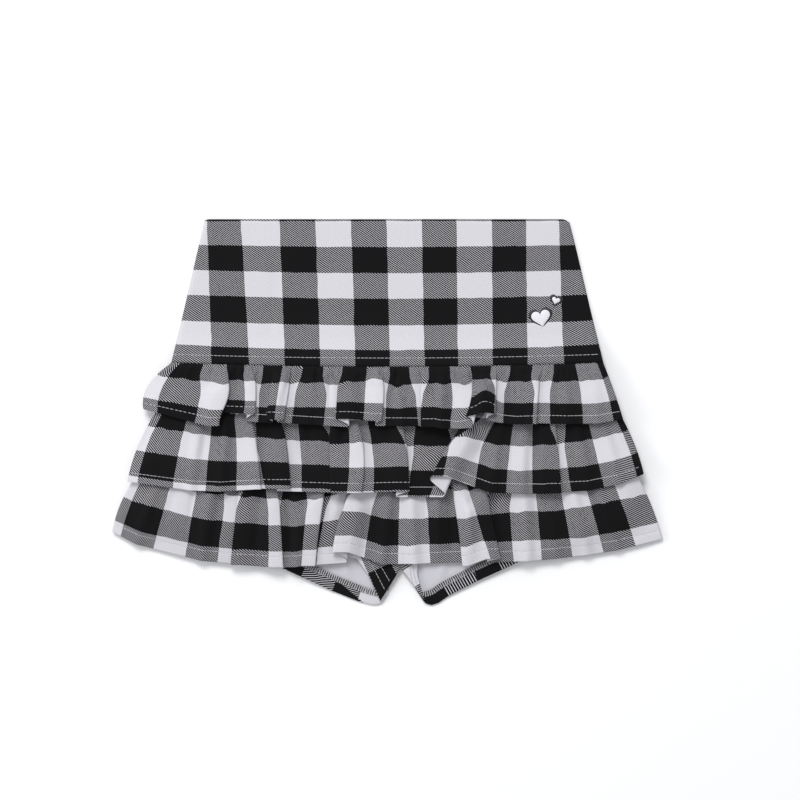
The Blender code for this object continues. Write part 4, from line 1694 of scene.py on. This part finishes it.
TIER_1 = RuffleTier(
    name="tier_1_front",
    face=Face.UP,
    seam_y=YOKE_SEAM_Y - 2 * SEAM_GAP,
    left=Side(0.62, -168.7, -187.0, -190.4, 1.8),
    right=Side(21.3, 168.7, 176.8, 183.8, -5.9),
    folds=(
        #    lies  place  seam    mid     hem     left y right y takes      size
        Fold(LEFT, 3.11, -123.5, -124.6, -129.5, -11.3, -0.4, 22.0, 22.0, 1.1),
        Fold(LEFT, 4.57, -103.6, -102.6, -102.8, -1.6, -7.8, 15.0, 15.0, 0.9),
        Fold(RIGHT, 5.55, -88.4, -91.6, -93.6, -9.0, -6.2, 10.5, 10.5, 1.0),
        Fold(LEFT, 6.52, -74.3, -77.6, -80.5, -6.6, -8.6, 12.0, 12.0, 0.9),
        Fold(SOFT, 7.45, -58.0, -61.1, -63.4, -10.1, -10.1, 6.0, 6.0, 2.2),
        Fold(RIGHT, 8.82, -37.7, -38.8, -40.0, -12.1, -5.7, 23.0, 23.0, 1.0),
        Fold(LEFT, 10.7, -3.4, -3.0, -4.5, -7.4, -11.3, 11.0, 11.0, 0.9),
        Fold(SOFT, 11.45, 9.3, 9.6, 11.2, -11.3, -11.3, 8.0, 5.0, 2.4),
        Fold(RIGHT, 12.6, 25.5, 26.3, 26.3, -11.7, -12.1, 20.0, 26.0, 0.9),
        Fold(SOFT, 13.6, 42.5, 42.2, 41.8, -13.3, -13.3, 6.5, 6.5, 2.4),
        Fold(RIGHT, 14.93, 63.5, 66.2, 61.8, -12.5, -3.2, 10.5, 12.0, 1.0),
        Fold(SOFT, 15.5, 73.5, 74.5, 73.0, -2.8, -2.8, 9.0, 10.0, 3.0),
        Fold(LEFT, 16.32, 86.3, 84.8, 84.2, -3.0, -7.8, 16.0, 16.0, 1.0),
        Fold(SOFT, 17.5, 103.3, 101.5, 100.3, -10.1, -10.1, 7.0, 7.0, 2.4),
        Fold(LEFT, 18.36, 119.9, 117.5, 116.0, -9.8, -9.0, 14.0, 14.0, 0.9),
        Fold(SOFT, 19.5, 137.8, 139.4, 140.9, -9.8, -9.8, 6.0, 6.0, 2.2),
        Fold(SOFT, 20.5, 155.8, 162.3, 164.3, -9.4, -9.4, 3.0, 3.0, 1.8),
    ),
    mid_share=0.5,
    drop=51.0,
    rows=(
        (0.62, 49.8, 41.0), (2.5, 51.6, 46.0), (3.5, 52.2, 47.4), (6.5, 51.9, 46.5),
        (7.5, 53.4, 46.5), (8.5, 54.4, 47.4), (9.5, 55.4, 49.0), (10.5, 55.0, 47.0),
        (11.4, 53.4, 46.5), (12.3, 55.4, 48.4), (13.5, 56.0, 50.0), (14.5, 55.2, 48.0),
        (16.5, 56.0, 50.0), (17.5, 58.5, 53.0), (18.5, 58.6, 53.5), (19.5, 57.4, 53.0),
        (20.5, 56.5, 51.0), (21.3, 56.0, 49.0),
    ),
    creases=creases_at(
        (-75.1, 34.7, -82.2, -0.6, 1.6, 1.5), (-61.0, 22.0, -63.0, -9.0, 2.4, 1.2),
        (-45.1, 33.0, -45.6, -8.0, 1.8, 1.4), (5.1, 22.2, 1.9, 3.5, 1.5, 1.2),
        (9.1, 19.6, 16.1, 5.1, 1.7, 1.3), (33.9, 22.2, 31.0, 3.5, 1.6, 1.2),
        (-155.0, 28.0, -140.0, 8.0, 3.0, 1.0), (-170.0, 30.0, -158.0, 18.0, 2.2, 1.0),
        (-167.0, 22.0, -178.0, 4.0, 2.6, 0.8), (-22.0, 28.0, -20.0, 0.0, 3.0, 0.8),
        (48.0, 25.0, 55.0, -6.0, 3.5, 1.2), (66.0, 32.0, 71.0, 18.0, 1.8, 1.4),
        (80.0, 33.0, 76.0, 20.0, 1.6, 1.4), (95.0, 26.0, 100.0, 2.0, 3.0, 0.9),
        (106.0, 12.0, 121.0, 20.0, 2.4, 0.7), (132.0, 24.0, 134.0, -4.0, 3.0, 0.9),
        (150.0, 30.0, 153.0, 8.0, 2.2, 0.9), (158.0, 30.0, 166.0, 4.0, 2.4, 0.9),
    ),
    pushes=(
        #    centre          reach        move
        Push((76.5, 7.0), (8.5, 9.0), (0.0, 7.5, 2.2)),
        Push((56.0, -6.0), (7.0, 7.0), (-1.5, -1.5, 0.0)),
        Push((-131.0, -4.0), (9.0, 9.0), (-3.0, 0.0, 1.0)),
        Push((-128.0, 16.0), (8.0, 9.0), (1.0, 0.0, 0.6)),
        Push((8.0, 21.0), (9.0, 5.0), (0.0, -2.6, 0.0)),
        Push((-8.0, 24.0), (6.0, 4.0), (0.0, 2.0, 0.0)),
        Push((-40.0, 24.0), (6.0, 5.0), (0.0, -2.0, 0.0)),
        Push((60.0, 24.0), (5.0, 5.0), (0.0, -1.6, 0.0)),
    ),
    seed=3,
)

TIER_2 = RuffleTier(
    name="tier_2_front",
    face=Face.UP,
    seam_y=9.8,
    left=Side(0.72, -173.5, -194.1, -202.6, -54.7),
    right=Side(23.2, 174.0, 191.6, 200.0, -48.8),
    folds=(
        Fold(SOFT, 2.5, -143.8, -149.6, -153.5, -61.6, -61.6, 3.5, 2.0, 2.0),
        Fold(SOFT, 3.5, -125.8, -128.5, -130.1, -62.4, -62.4, 9.0, 8.0, 3.0),
        Fold(LEFT, 4.84, -107.1, -101.6, -97.7, -60.5, -60.1, 9.0, 2.0, 0.9),
        Fold(LEFT, 6.2, -84.5, -78.2, -75.5, -60.1, -62.0, 25.0, 30.0, 1.0),
        Fold(RIGHT, 8.6, -47.0, -44.7, -44.1, -63.3, -63.2, 46.0, 50.0, 0.9),
        Fold(LEFT, 10.58, -27.1, -18.5, -20.0, -63.3, -63.3, 9.0, 3.0, 0.9),
        Fold(LEFT, 12.42, 8.3, 15.4, 16.8, -62.4, -66.7, 24.0, 24.0, 0.9),
        Fold(RIGHT, 14.95, 70.7, 48.1, 33.4, -66.7, -50.3, 57.0, 38.0, 1.7, False),
        Fold(SOFT, 17.5, 93.5, 84.8, 80.3, -63.2, -63.2, 5.5, 4.0, 2.6),
        Fold(SOFT, 18.5, 109.0, 105.5, 104.3, -64.0, -64.0, 8.6, 5.0, 2.6),
        Fold(SOFT, 19.5, 119.4, 120.7, 122.1, -64.1, -64.1, 9.0, 7.0, 1.6),
        Fold(LEFT, 20.37, 130.4, 133.1, 136.0, -63.6, -63.3, 21.0, 20.0, 0.9),
        Fold(SOFT, 21.5, 145.3, 151.1, 157.3, -61.6, -61.6, 6.5, 4.0, 2.4),
        Fold(SOFT, 22.5, 160.0, 172.5, 180.7, -56.6, -56.6, 3.0, 2.0, 2.0),
    ),
    mid_share=0.55,
    drop=74.0,
    rows=(
        (0.72, 64.0, 66.0), (2.5, 63.9, 71.0), (3.5, 63.6, 73.0), (4.5, 63.0, 74.0),
        (5.5, 61.8, 73.5), (6.5, 61.9, 74.0), (7.5, 62.2, 74.5), (8.5, 60.4, 74.5),
        (14.0, 60.4, 75.0), (16.2, 59.6, 75.0), (17.5, 59.0, 75.0), (18.5, 58.0, 75.0),
        (19.5, 59.1, 75.0), (20.5, 58.0, 74.0), (21.5, 59.1, 73.0), (22.5, 58.0, 69.0),
        (23.2, 58.0, 66.0),
    ),
    stitch_up=7.8,
    creases=creases_at(
        (-103.0, -9.0, -98.0, -38.0, 2.0, 1.2), (-26.5, -8.0, -22.0, -26.0, 1.8, -1.2),
        (-185.0, -8.0, -196.0, -44.0, 3.4, 0.9), (-140.0, -10.0, -146.0, -40.0, 3.0, 0.9),
        (-131.0, -8.0, -128.0, -34.0, 2.0, 1.2), (-120.0, -12.0, -119.0, -50.0, 3.0, 0.9),
        (-62.0, -10.0, -60.0, -45.0, 3.2, 1.0), (-71.0, -8.0, -66.0, -36.0, 2.2, 1.6),
        (-33.0, -4.0, -38.0, -30.0, 1.8, 1.5), (0.0, -10.0, 2.0, -50.0, 3.5, 0.9),
        (19.0, -8.0, 20.0, -52.0, 2.0, 1.6), (78.0, -15.0, 66.0, -52.0, 3.5, 1.0),
        (100.0, -15.0, 95.0, -50.0, 3.0, 1.1), (112.0, -8.0, 117.0, -44.0, 2.0, 1.7),
        (128.0, -12.0, 130.0, -45.0, 2.6, 0.9), (152.0, -8.0, 164.0, -45.0, 3.4, 0.9),
        (172.0, -8.0, 188.0, -40.0, 3.2, 0.9),
    ),
    pushes=(
        Push((-100.0, -16.0), (6.0, 8.0), (0.0, 1.5, 0.5)),
        Push((72.0, -14.0), (8.0, 6.0), (0.0, 2.0, 1.2)),
        Push((-22.0, -22.0), (4.0, 6.0), (0.0, 2.5, 0.6)),
    ),
    seed=5,
)

TIER_3 = RuffleTier(
    name="tier_3_front",
    face=Face.UP,
    seam_y=-40.2,
    left=Side(0.75, -188.0, -205.4, -215.3, -94.0),
    right=Side(24.8, 188.5, 204.1, 215.4, -99.7),
    folds=(
        Fold(SOFT, 1.5, -173.5, -184.5, -195.6, -104.2, -104.2, 6.0, 4.0, 2.2),
        Fold(SOFT, 3.5, -135.2, -140.2, -145.7, -116.6, -116.6, 7.0, 5.0, 3.0),
        Fold(RIGHT, 4.71, -113.3, -118.0, -122.7, -119.3, -119.7, 16.0, 16.0, 0.9),
        Fold(LEFT, 6.66, -86.0, -83.7, -81.4, -121.7, -122.1, 19.0, 15.0, 0.9),
        Fold(SOFT, 7.5, -71.3, -71.6, -71.8, -121.3, -121.3, 10.0, 13.0, 2.2),
        Fold(LEFT, 9.17, -44.7, -51.7, -56.4, -120.5, -120.5, 40.0, 44.0, 0.9),
        Fold(RIGHT, 11.3, -24.0, -35.2, -42.9, -118.2, -109.6, 45.0, 45.0, 1.7),
        Fold(SOFT, 13.5, 2.7, -0.6, -4.4, -119.3, -119.3, 5.0, 1.0, 2.6),
        Fold(SOFT, 14.5, 18.1, 19.0, 21.2, -119.0, -119.0, 12.0, 1.5, 3.0),
        Fold(RIGHT, 16.15, 46.9, 54.0, 58.7, -117.4, -120.5, 15.0, 6.0, 1.2),
        Fold(LEFT, 18.35, 76.4, 80.3, 88.7, -115.0, -117.8, 52.0, 60.0, 1.2),
        Fold(SOFT, 20.5, 104.2, 107.2, 109.6, -117.0, -117.0, 10.0, 9.0, 2.6),
        Fold(SOFT, 21.5, 122.1, 127.4, 132.0, -115.0, -115.0, 5.0, 1.0, 1.8),
        Fold(SOFT, 22.45, 138.7, 147.7, 156.5, -112.3, -112.3, 11.0, 6.0, 2.4),
        Fold(SOFT, 23.5, 158.7, 169.4, 180.7, -108.4, -108.4, 4.0, 2.0, 2.0),
    ),
    mid_share=0.48,
    drop=78.0,
    rows=(
        (0.75, 68.5, 60.0), (2.0, 69.2, 65.0), (3.0, 70.2, 72.0), (4.5, 70.3, 73.0),
        (5.5, 70.8, 74.5), (6.5, 71.4, 77.0), (7.5, 71.0, 78.5), (8.5, 72.3, 77.5),
        (10.0, 72.2, 74.0), (11.5, 72.4, 68.0), (12.6, 73.0, 70.0), (13.5, 72.8, 72.0),
        (14.5, 73.7, 73.0), (16.5, 72.8, 70.0), (18.5, 73.2, 71.0), (19.5, 73.2, 67.5),
        (20.5, 73.5, 65.5), (21.5, 72.4, 65.0), (22.5, 71.2, 61.0), (24.0, 70.5, 56.0),
        (24.8, 70.2, 54.0),
    ),
    stitch_up=8.6,
    creases=creases_at(
        (-196.0, -60.0, -203.0, -92.0, 3.4, 0.8), (-165.0, -60.0, -178.0, -100.0, 3.6, 0.9),
        (-151.0, -62.0, -156.0, -92.0, 2.2, 0.9), (-130.0, -62.0, -136.0, -108.0, 3.4, 1.0),
        (-98.0, -60.0, -104.0, -112.0, 3.0, 1.0), (-78.0, -60.0, -77.0, -116.0, 2.0, 1.4),
        (-64.0, -62.0, -63.0, -110.0, 2.6, 1.2), (-46.0, -64.0, -54.0, -114.0, 2.2, 1.3),
        (-38.0, -62.0, -42.0, -86.0, 3.0, -1.2), (8.0, -60.0, 6.0, -108.0, 3.6, 0.9),
        (29.0, -64.0, 31.0, -100.0, 2.2, 1.0), (49.0, -60.0, 51.0, -118.0, 3.2, 1.8),
        (38.5, -60.0, 40.0, -116.0, 3.6, -2.6), (61.0, -62.0, 66.0, -116.0, 4.4, -2.8),
        (70.0, -62.0, 80.0, -114.0, 3.0, -1.0), (79.0, -62.0, 89.0, -112.0, 2.6, 1.0),
        (96.0, -62.0, 100.0, -106.0, 3.0, 0.9), (114.0, -60.0, 121.0, -108.0, 3.0, 1.2),
        (134.0, -60.0, 145.0, -104.0, 3.0, 0.9), (149.0, -78.0, 155.0, -102.0, 2.4, 1.0),
        (165.0, -60.0, 182.0, -98.0, 3.6, 0.9),
    ),
    pushes=(
        Push((16.0, -107.0), (6.0, 5.0), (0.0, -1.5, 0.5)),
        Push((-30.0, -76.0), (7.0, 7.0), (2.0, 0.0, 1.0)),
        Push((150.0, -92.0), (6.0, 6.0), (0.0, -1.2, 0.5)),
    ),
    seed=8,
)

YOKE_CREASES = creases_at(
    (-131.0, 146.0, -126.0, 70.0, 5.0, 0.5), (-92.0, 58.0, -86.0, 118.0, 4.2, 0.4),
    (-24.0, 52.0, -18.0, 96.0, 4.6, 0.4), (46.0, 50.0, 38.0, 104.0, 5.0, 0.4),
    (89.0, 147.0, 93.0, 66.0, 6.0, 0.55), (139.0, 120.0, 150.0, 60.0, 4.4, 0.4),
)

LEFT_SIDE = ((-168.0, 37.6), (-173.0, 9.0), (-184.0, -39.4), (-184.5, -78.0))
RIGHT_SIDE = ((168.0, 37.6), (173.0, 9.0), (184.0, -39.4), (184.5, -76.0))
BACK_LEFT_HEM = (
    (-184.5, -78.0), (-81.0, -122.0), (-42.7, -139.5), (-22.5, -147.6), (-13.5, -150.2),
    (-8.5, -150.6), (-5.0, -149.6), (-3.6, -148.2),
)
BACK_RIGHT_HEM = (
    (184.5, -76.0), (96.5, -119.6), (71.5, -131.0), (47.8, -143.2), (39.5, -149.0),
    (34.0, -150.8), (29.8, -149.6), (28.0, -147.6),
)
FRONT_LEFT_HEM = (
    (-184.5, -74.0), (-60.0, -108.0), (-24.0, -114.0), (-15.0, -127.0), (-5.6, -148.4),
)
FRONT_RIGHT_HEM = (
    (184.5, -72.0), (70.0, -104.0), (24.0, -114.0), (23.5, -128.0), (29.0, -147.5),
)

STRAIGHT = Grain((1.0, 0.0), (0.0,), 0, (0.0, -1.0), (0.0,), 0)
BACK_LEFT_LEG = ShortsLeg(
    "shorts_back_left", Face.DOWN, LEFT_SIDE, BACK_LEFT_HEM, STRAIGHT,
    Grain((0.956, -0.293), (-54.3, -26.3, 0.2, 21.1), 1, (0.656, 0.755), (-125.3,), 1),
    creases_at(
        (-38.0, -96.0, -30.0, -134.0, 3.2, -1.2), (-14.0, -98.0, -13.0, -138.0, 2.6, -0.9),
        (-95.0, -40.0, -120.0, -95.0, 4.0, -0.8),
    ),
)
BACK_RIGHT_LEG = ShortsLeg(
    "shorts_back_right", Face.DOWN, RIGHT_SIDE, BACK_RIGHT_HEM, STRAIGHT,
    Grain((0.9, 0.44), (-49.2, -21.2, 6.1, 25.0), 1, (0.0, -1.0), (-160.0, 200.0), 0),
    creases_at(
        (50.0, -96.0, 40.0, -134.0, 3.0, -1.1), (78.0, -92.0, 62.0, -122.0, 3.4, -0.9),
        (88.0, -38.0, 118.0, -90.0, 4.0, -0.8),
    ),
)
FRONT_LEFT_LEG = ShortsLeg(
    "shorts_front_left", Face.UP, LEFT_SIDE, FRONT_LEFT_HEM,
    Grain((0.42, -0.91), (108.7,), 1, (0.91, 0.42), (-66.8,), 2),
)
FRONT_RIGHT_LEG = ShortsLeg(
    "shorts_front_right", Face.UP, RIGHT_SIDE, FRONT_RIGHT_HEM,
    Grain((0.84, 0.54), (-200.0, 200.0), 0, (0.54, -0.84), (91.9, 111.6, 126.4), 0),
)


HEARTS = (
    EmbroideredHeart("heart_large", (120.5, 72.5), 19.0, 12.0),
    EmbroideredHeart("heart_small", (131.8, 86.5), 10.5, -16.0),
)


class Skort:
    """The whole garment, built from the table up and then sewn."""

    def __init__(self) -> None:
        """List its panels."""
        self.tiers = (TIER_1, TIER_2, TIER_3)
        self.back_tiers = tuple(tier.back() for tier in self.tiers)
        self.yoke = Yoke("yoke_front", Face.UP, creases=YOKE_CREASES)
        back = tuple(crease.behind() for crease in YOKE_CREASES)
        self.back_yoke = Yoke("yoke_back", Face.DOWN, lift=YOKE_BACK_LIFT, creases=back)
        self.back_legs = (BACK_LEFT_LEG, BACK_RIGHT_LEG)
        self.front_legs = (FRONT_LEFT_LEG, FRONT_RIGHT_LEG)
        self.cloths: dict[str, bpy.types.Object] = {}
        self.trims: dict[str, list[bpy.types.Object]] = {}

    def lay(self) -> None:
        """Lay the panels on the table, each on what lies there before it."""
        bed = Bed()
        for tier in self.back_tiers:
            self.put(tier, bed, bed)
            bed.ease(LEG_EASE)
        self.put(self.back_yoke, Bed(), bed)
        bed.ease(LEG_EASE)
        for legs, ease in ((self.back_legs, LEG_EASE), (self.front_legs, TIER_EASE)):
            for leg in legs:
                self.cloths[leg.name] = leg.build(bed)
            for leg in legs:
                bed.lay(self.cloths[leg.name])
            bed.ease(ease)
        for tier in (TIER_3, TIER_2):
            self.put(tier, bed, bed)
            bed.ease(TIER_EASE)
        self.cloths[self.yoke.name] = self.yoke.build(bed)
        self.cloths[TIER_1.name] = TIER_1.build(bed)

    def put(self, panel: Panel, on: Bed, bed: Bed) -> None:
        """Build a panel on one bed and add it to another."""
        self.cloths[panel.name] = panel.build(on)
        bed.lay(self.cloths[panel.name])

    def sew(self) -> None:
        """Sew the hems and seams, front and back."""
        for tier in (*self.tiers, *self.back_tiers):
            run = Run(
                tier.left.place * SQUARE + TIER_STITCH_FREE,
                tier.right.place * SQUARE - TIER_STITCH_FREE,
                1.0 - tier.stitch_up / tier.drop, tier.face is Face.UP, tier.seed,
            )
            self.trims[tier.name] = [StitchLine("hem_stitches_" + tier.name).sew(tier.laid, run)]
        for yoke in (self.yoke, self.back_yoke):
            run = Run(
                YOKE_LEFT_X + YOKE_STITCH_FREE, YOKE_RIGHT_X - YOKE_STITCH_FREE,
                1.0 - YOKE_STITCH_UP / (WAIST_Y - YOKE_SEAM_Y), yoke.face is Face.UP, YOKE_SEED,
            )
            self.trims[yoke.name] = [StitchLine("seam_stitches_" + yoke.name).sew(yoke.laid, run)]
        looper = SewingThread("#131314", "polyester_looper_thread_black")
        for leg in self.back_legs:
            under = Overlock("overlock_black_" + leg.name, looper, phase=1.0)
            self.trims[leg.name] = [
                self.along_leg(Overlock("overlock_white_" + leg.name), leg, *OVERLOCK_ROW),
                self.along_leg(under, leg, *OVERLOCK_ROW),
                self.along_leg(StitchLine("hem_stitches_" + leg.name), leg, *BACK_HEM_ROW),
            ]
        for leg in self.front_legs:
            self.trims[leg.name] = [
                self.along_leg(StitchLine(f"hem_stitches_{number}_{leg.name}"), leg, *row)
                for number, row in enumerate(FRONT_HEM_ROWS, start=1)
            ]

    def along_leg(
        self, line: StitchLine, leg: ShortsLeg, start: float, end: float, down: float
    ) -> bpy.types.Object:
        """Sew a line along a leg's hem.

        Args:
            line: The stitches.
            leg: The leg.
            start: Share of the hem, from the side, at which they begin.
            end: The share at which they end.
            down: How far down the leg they run.

        Returns:
            The stitches.
        """
        length = leg.hem_length()
        if leg.side[0][0] > 0.0:
            start, end = 1.0 - end, 1.0 - start
        run = Run(start * length, end * length, down, leg.turned is None, LEG_SEED)
        return line.sew(leg.laid, run)

    def decorate(self) -> None:
        """Embroider two small hearts on the front of the yoke."""
        for heart in HEARTS:
            self.trims[self.yoke.name] += heart.build(self.yoke.laid)

    def declare(self) -> None:
        """Work out the cut of each piece of cloth before it was gathered and sewn; the results are
        not used.
        """
        for tier in (*self.tiers, *self.back_tiers):
            cut = ((tier.right.place - tier.left.place) * SQUARE * MM, tier.drop * MM)
        for leg in (*self.back_legs, *self.front_legs):
            cut, area = leg.cut_size()


def main() -> None:
    """Build the garment from the table up, sew it and set up the studio."""
    logging.basicConfig(level=logging.INFO, format="%(name)s: %(message)s")
    skort = Skort()
    skort.lay()
    skort.sew()
    skort.decorate()
    skort.declare()
    Studio().build()


if __name__ == "__main__":
    main()
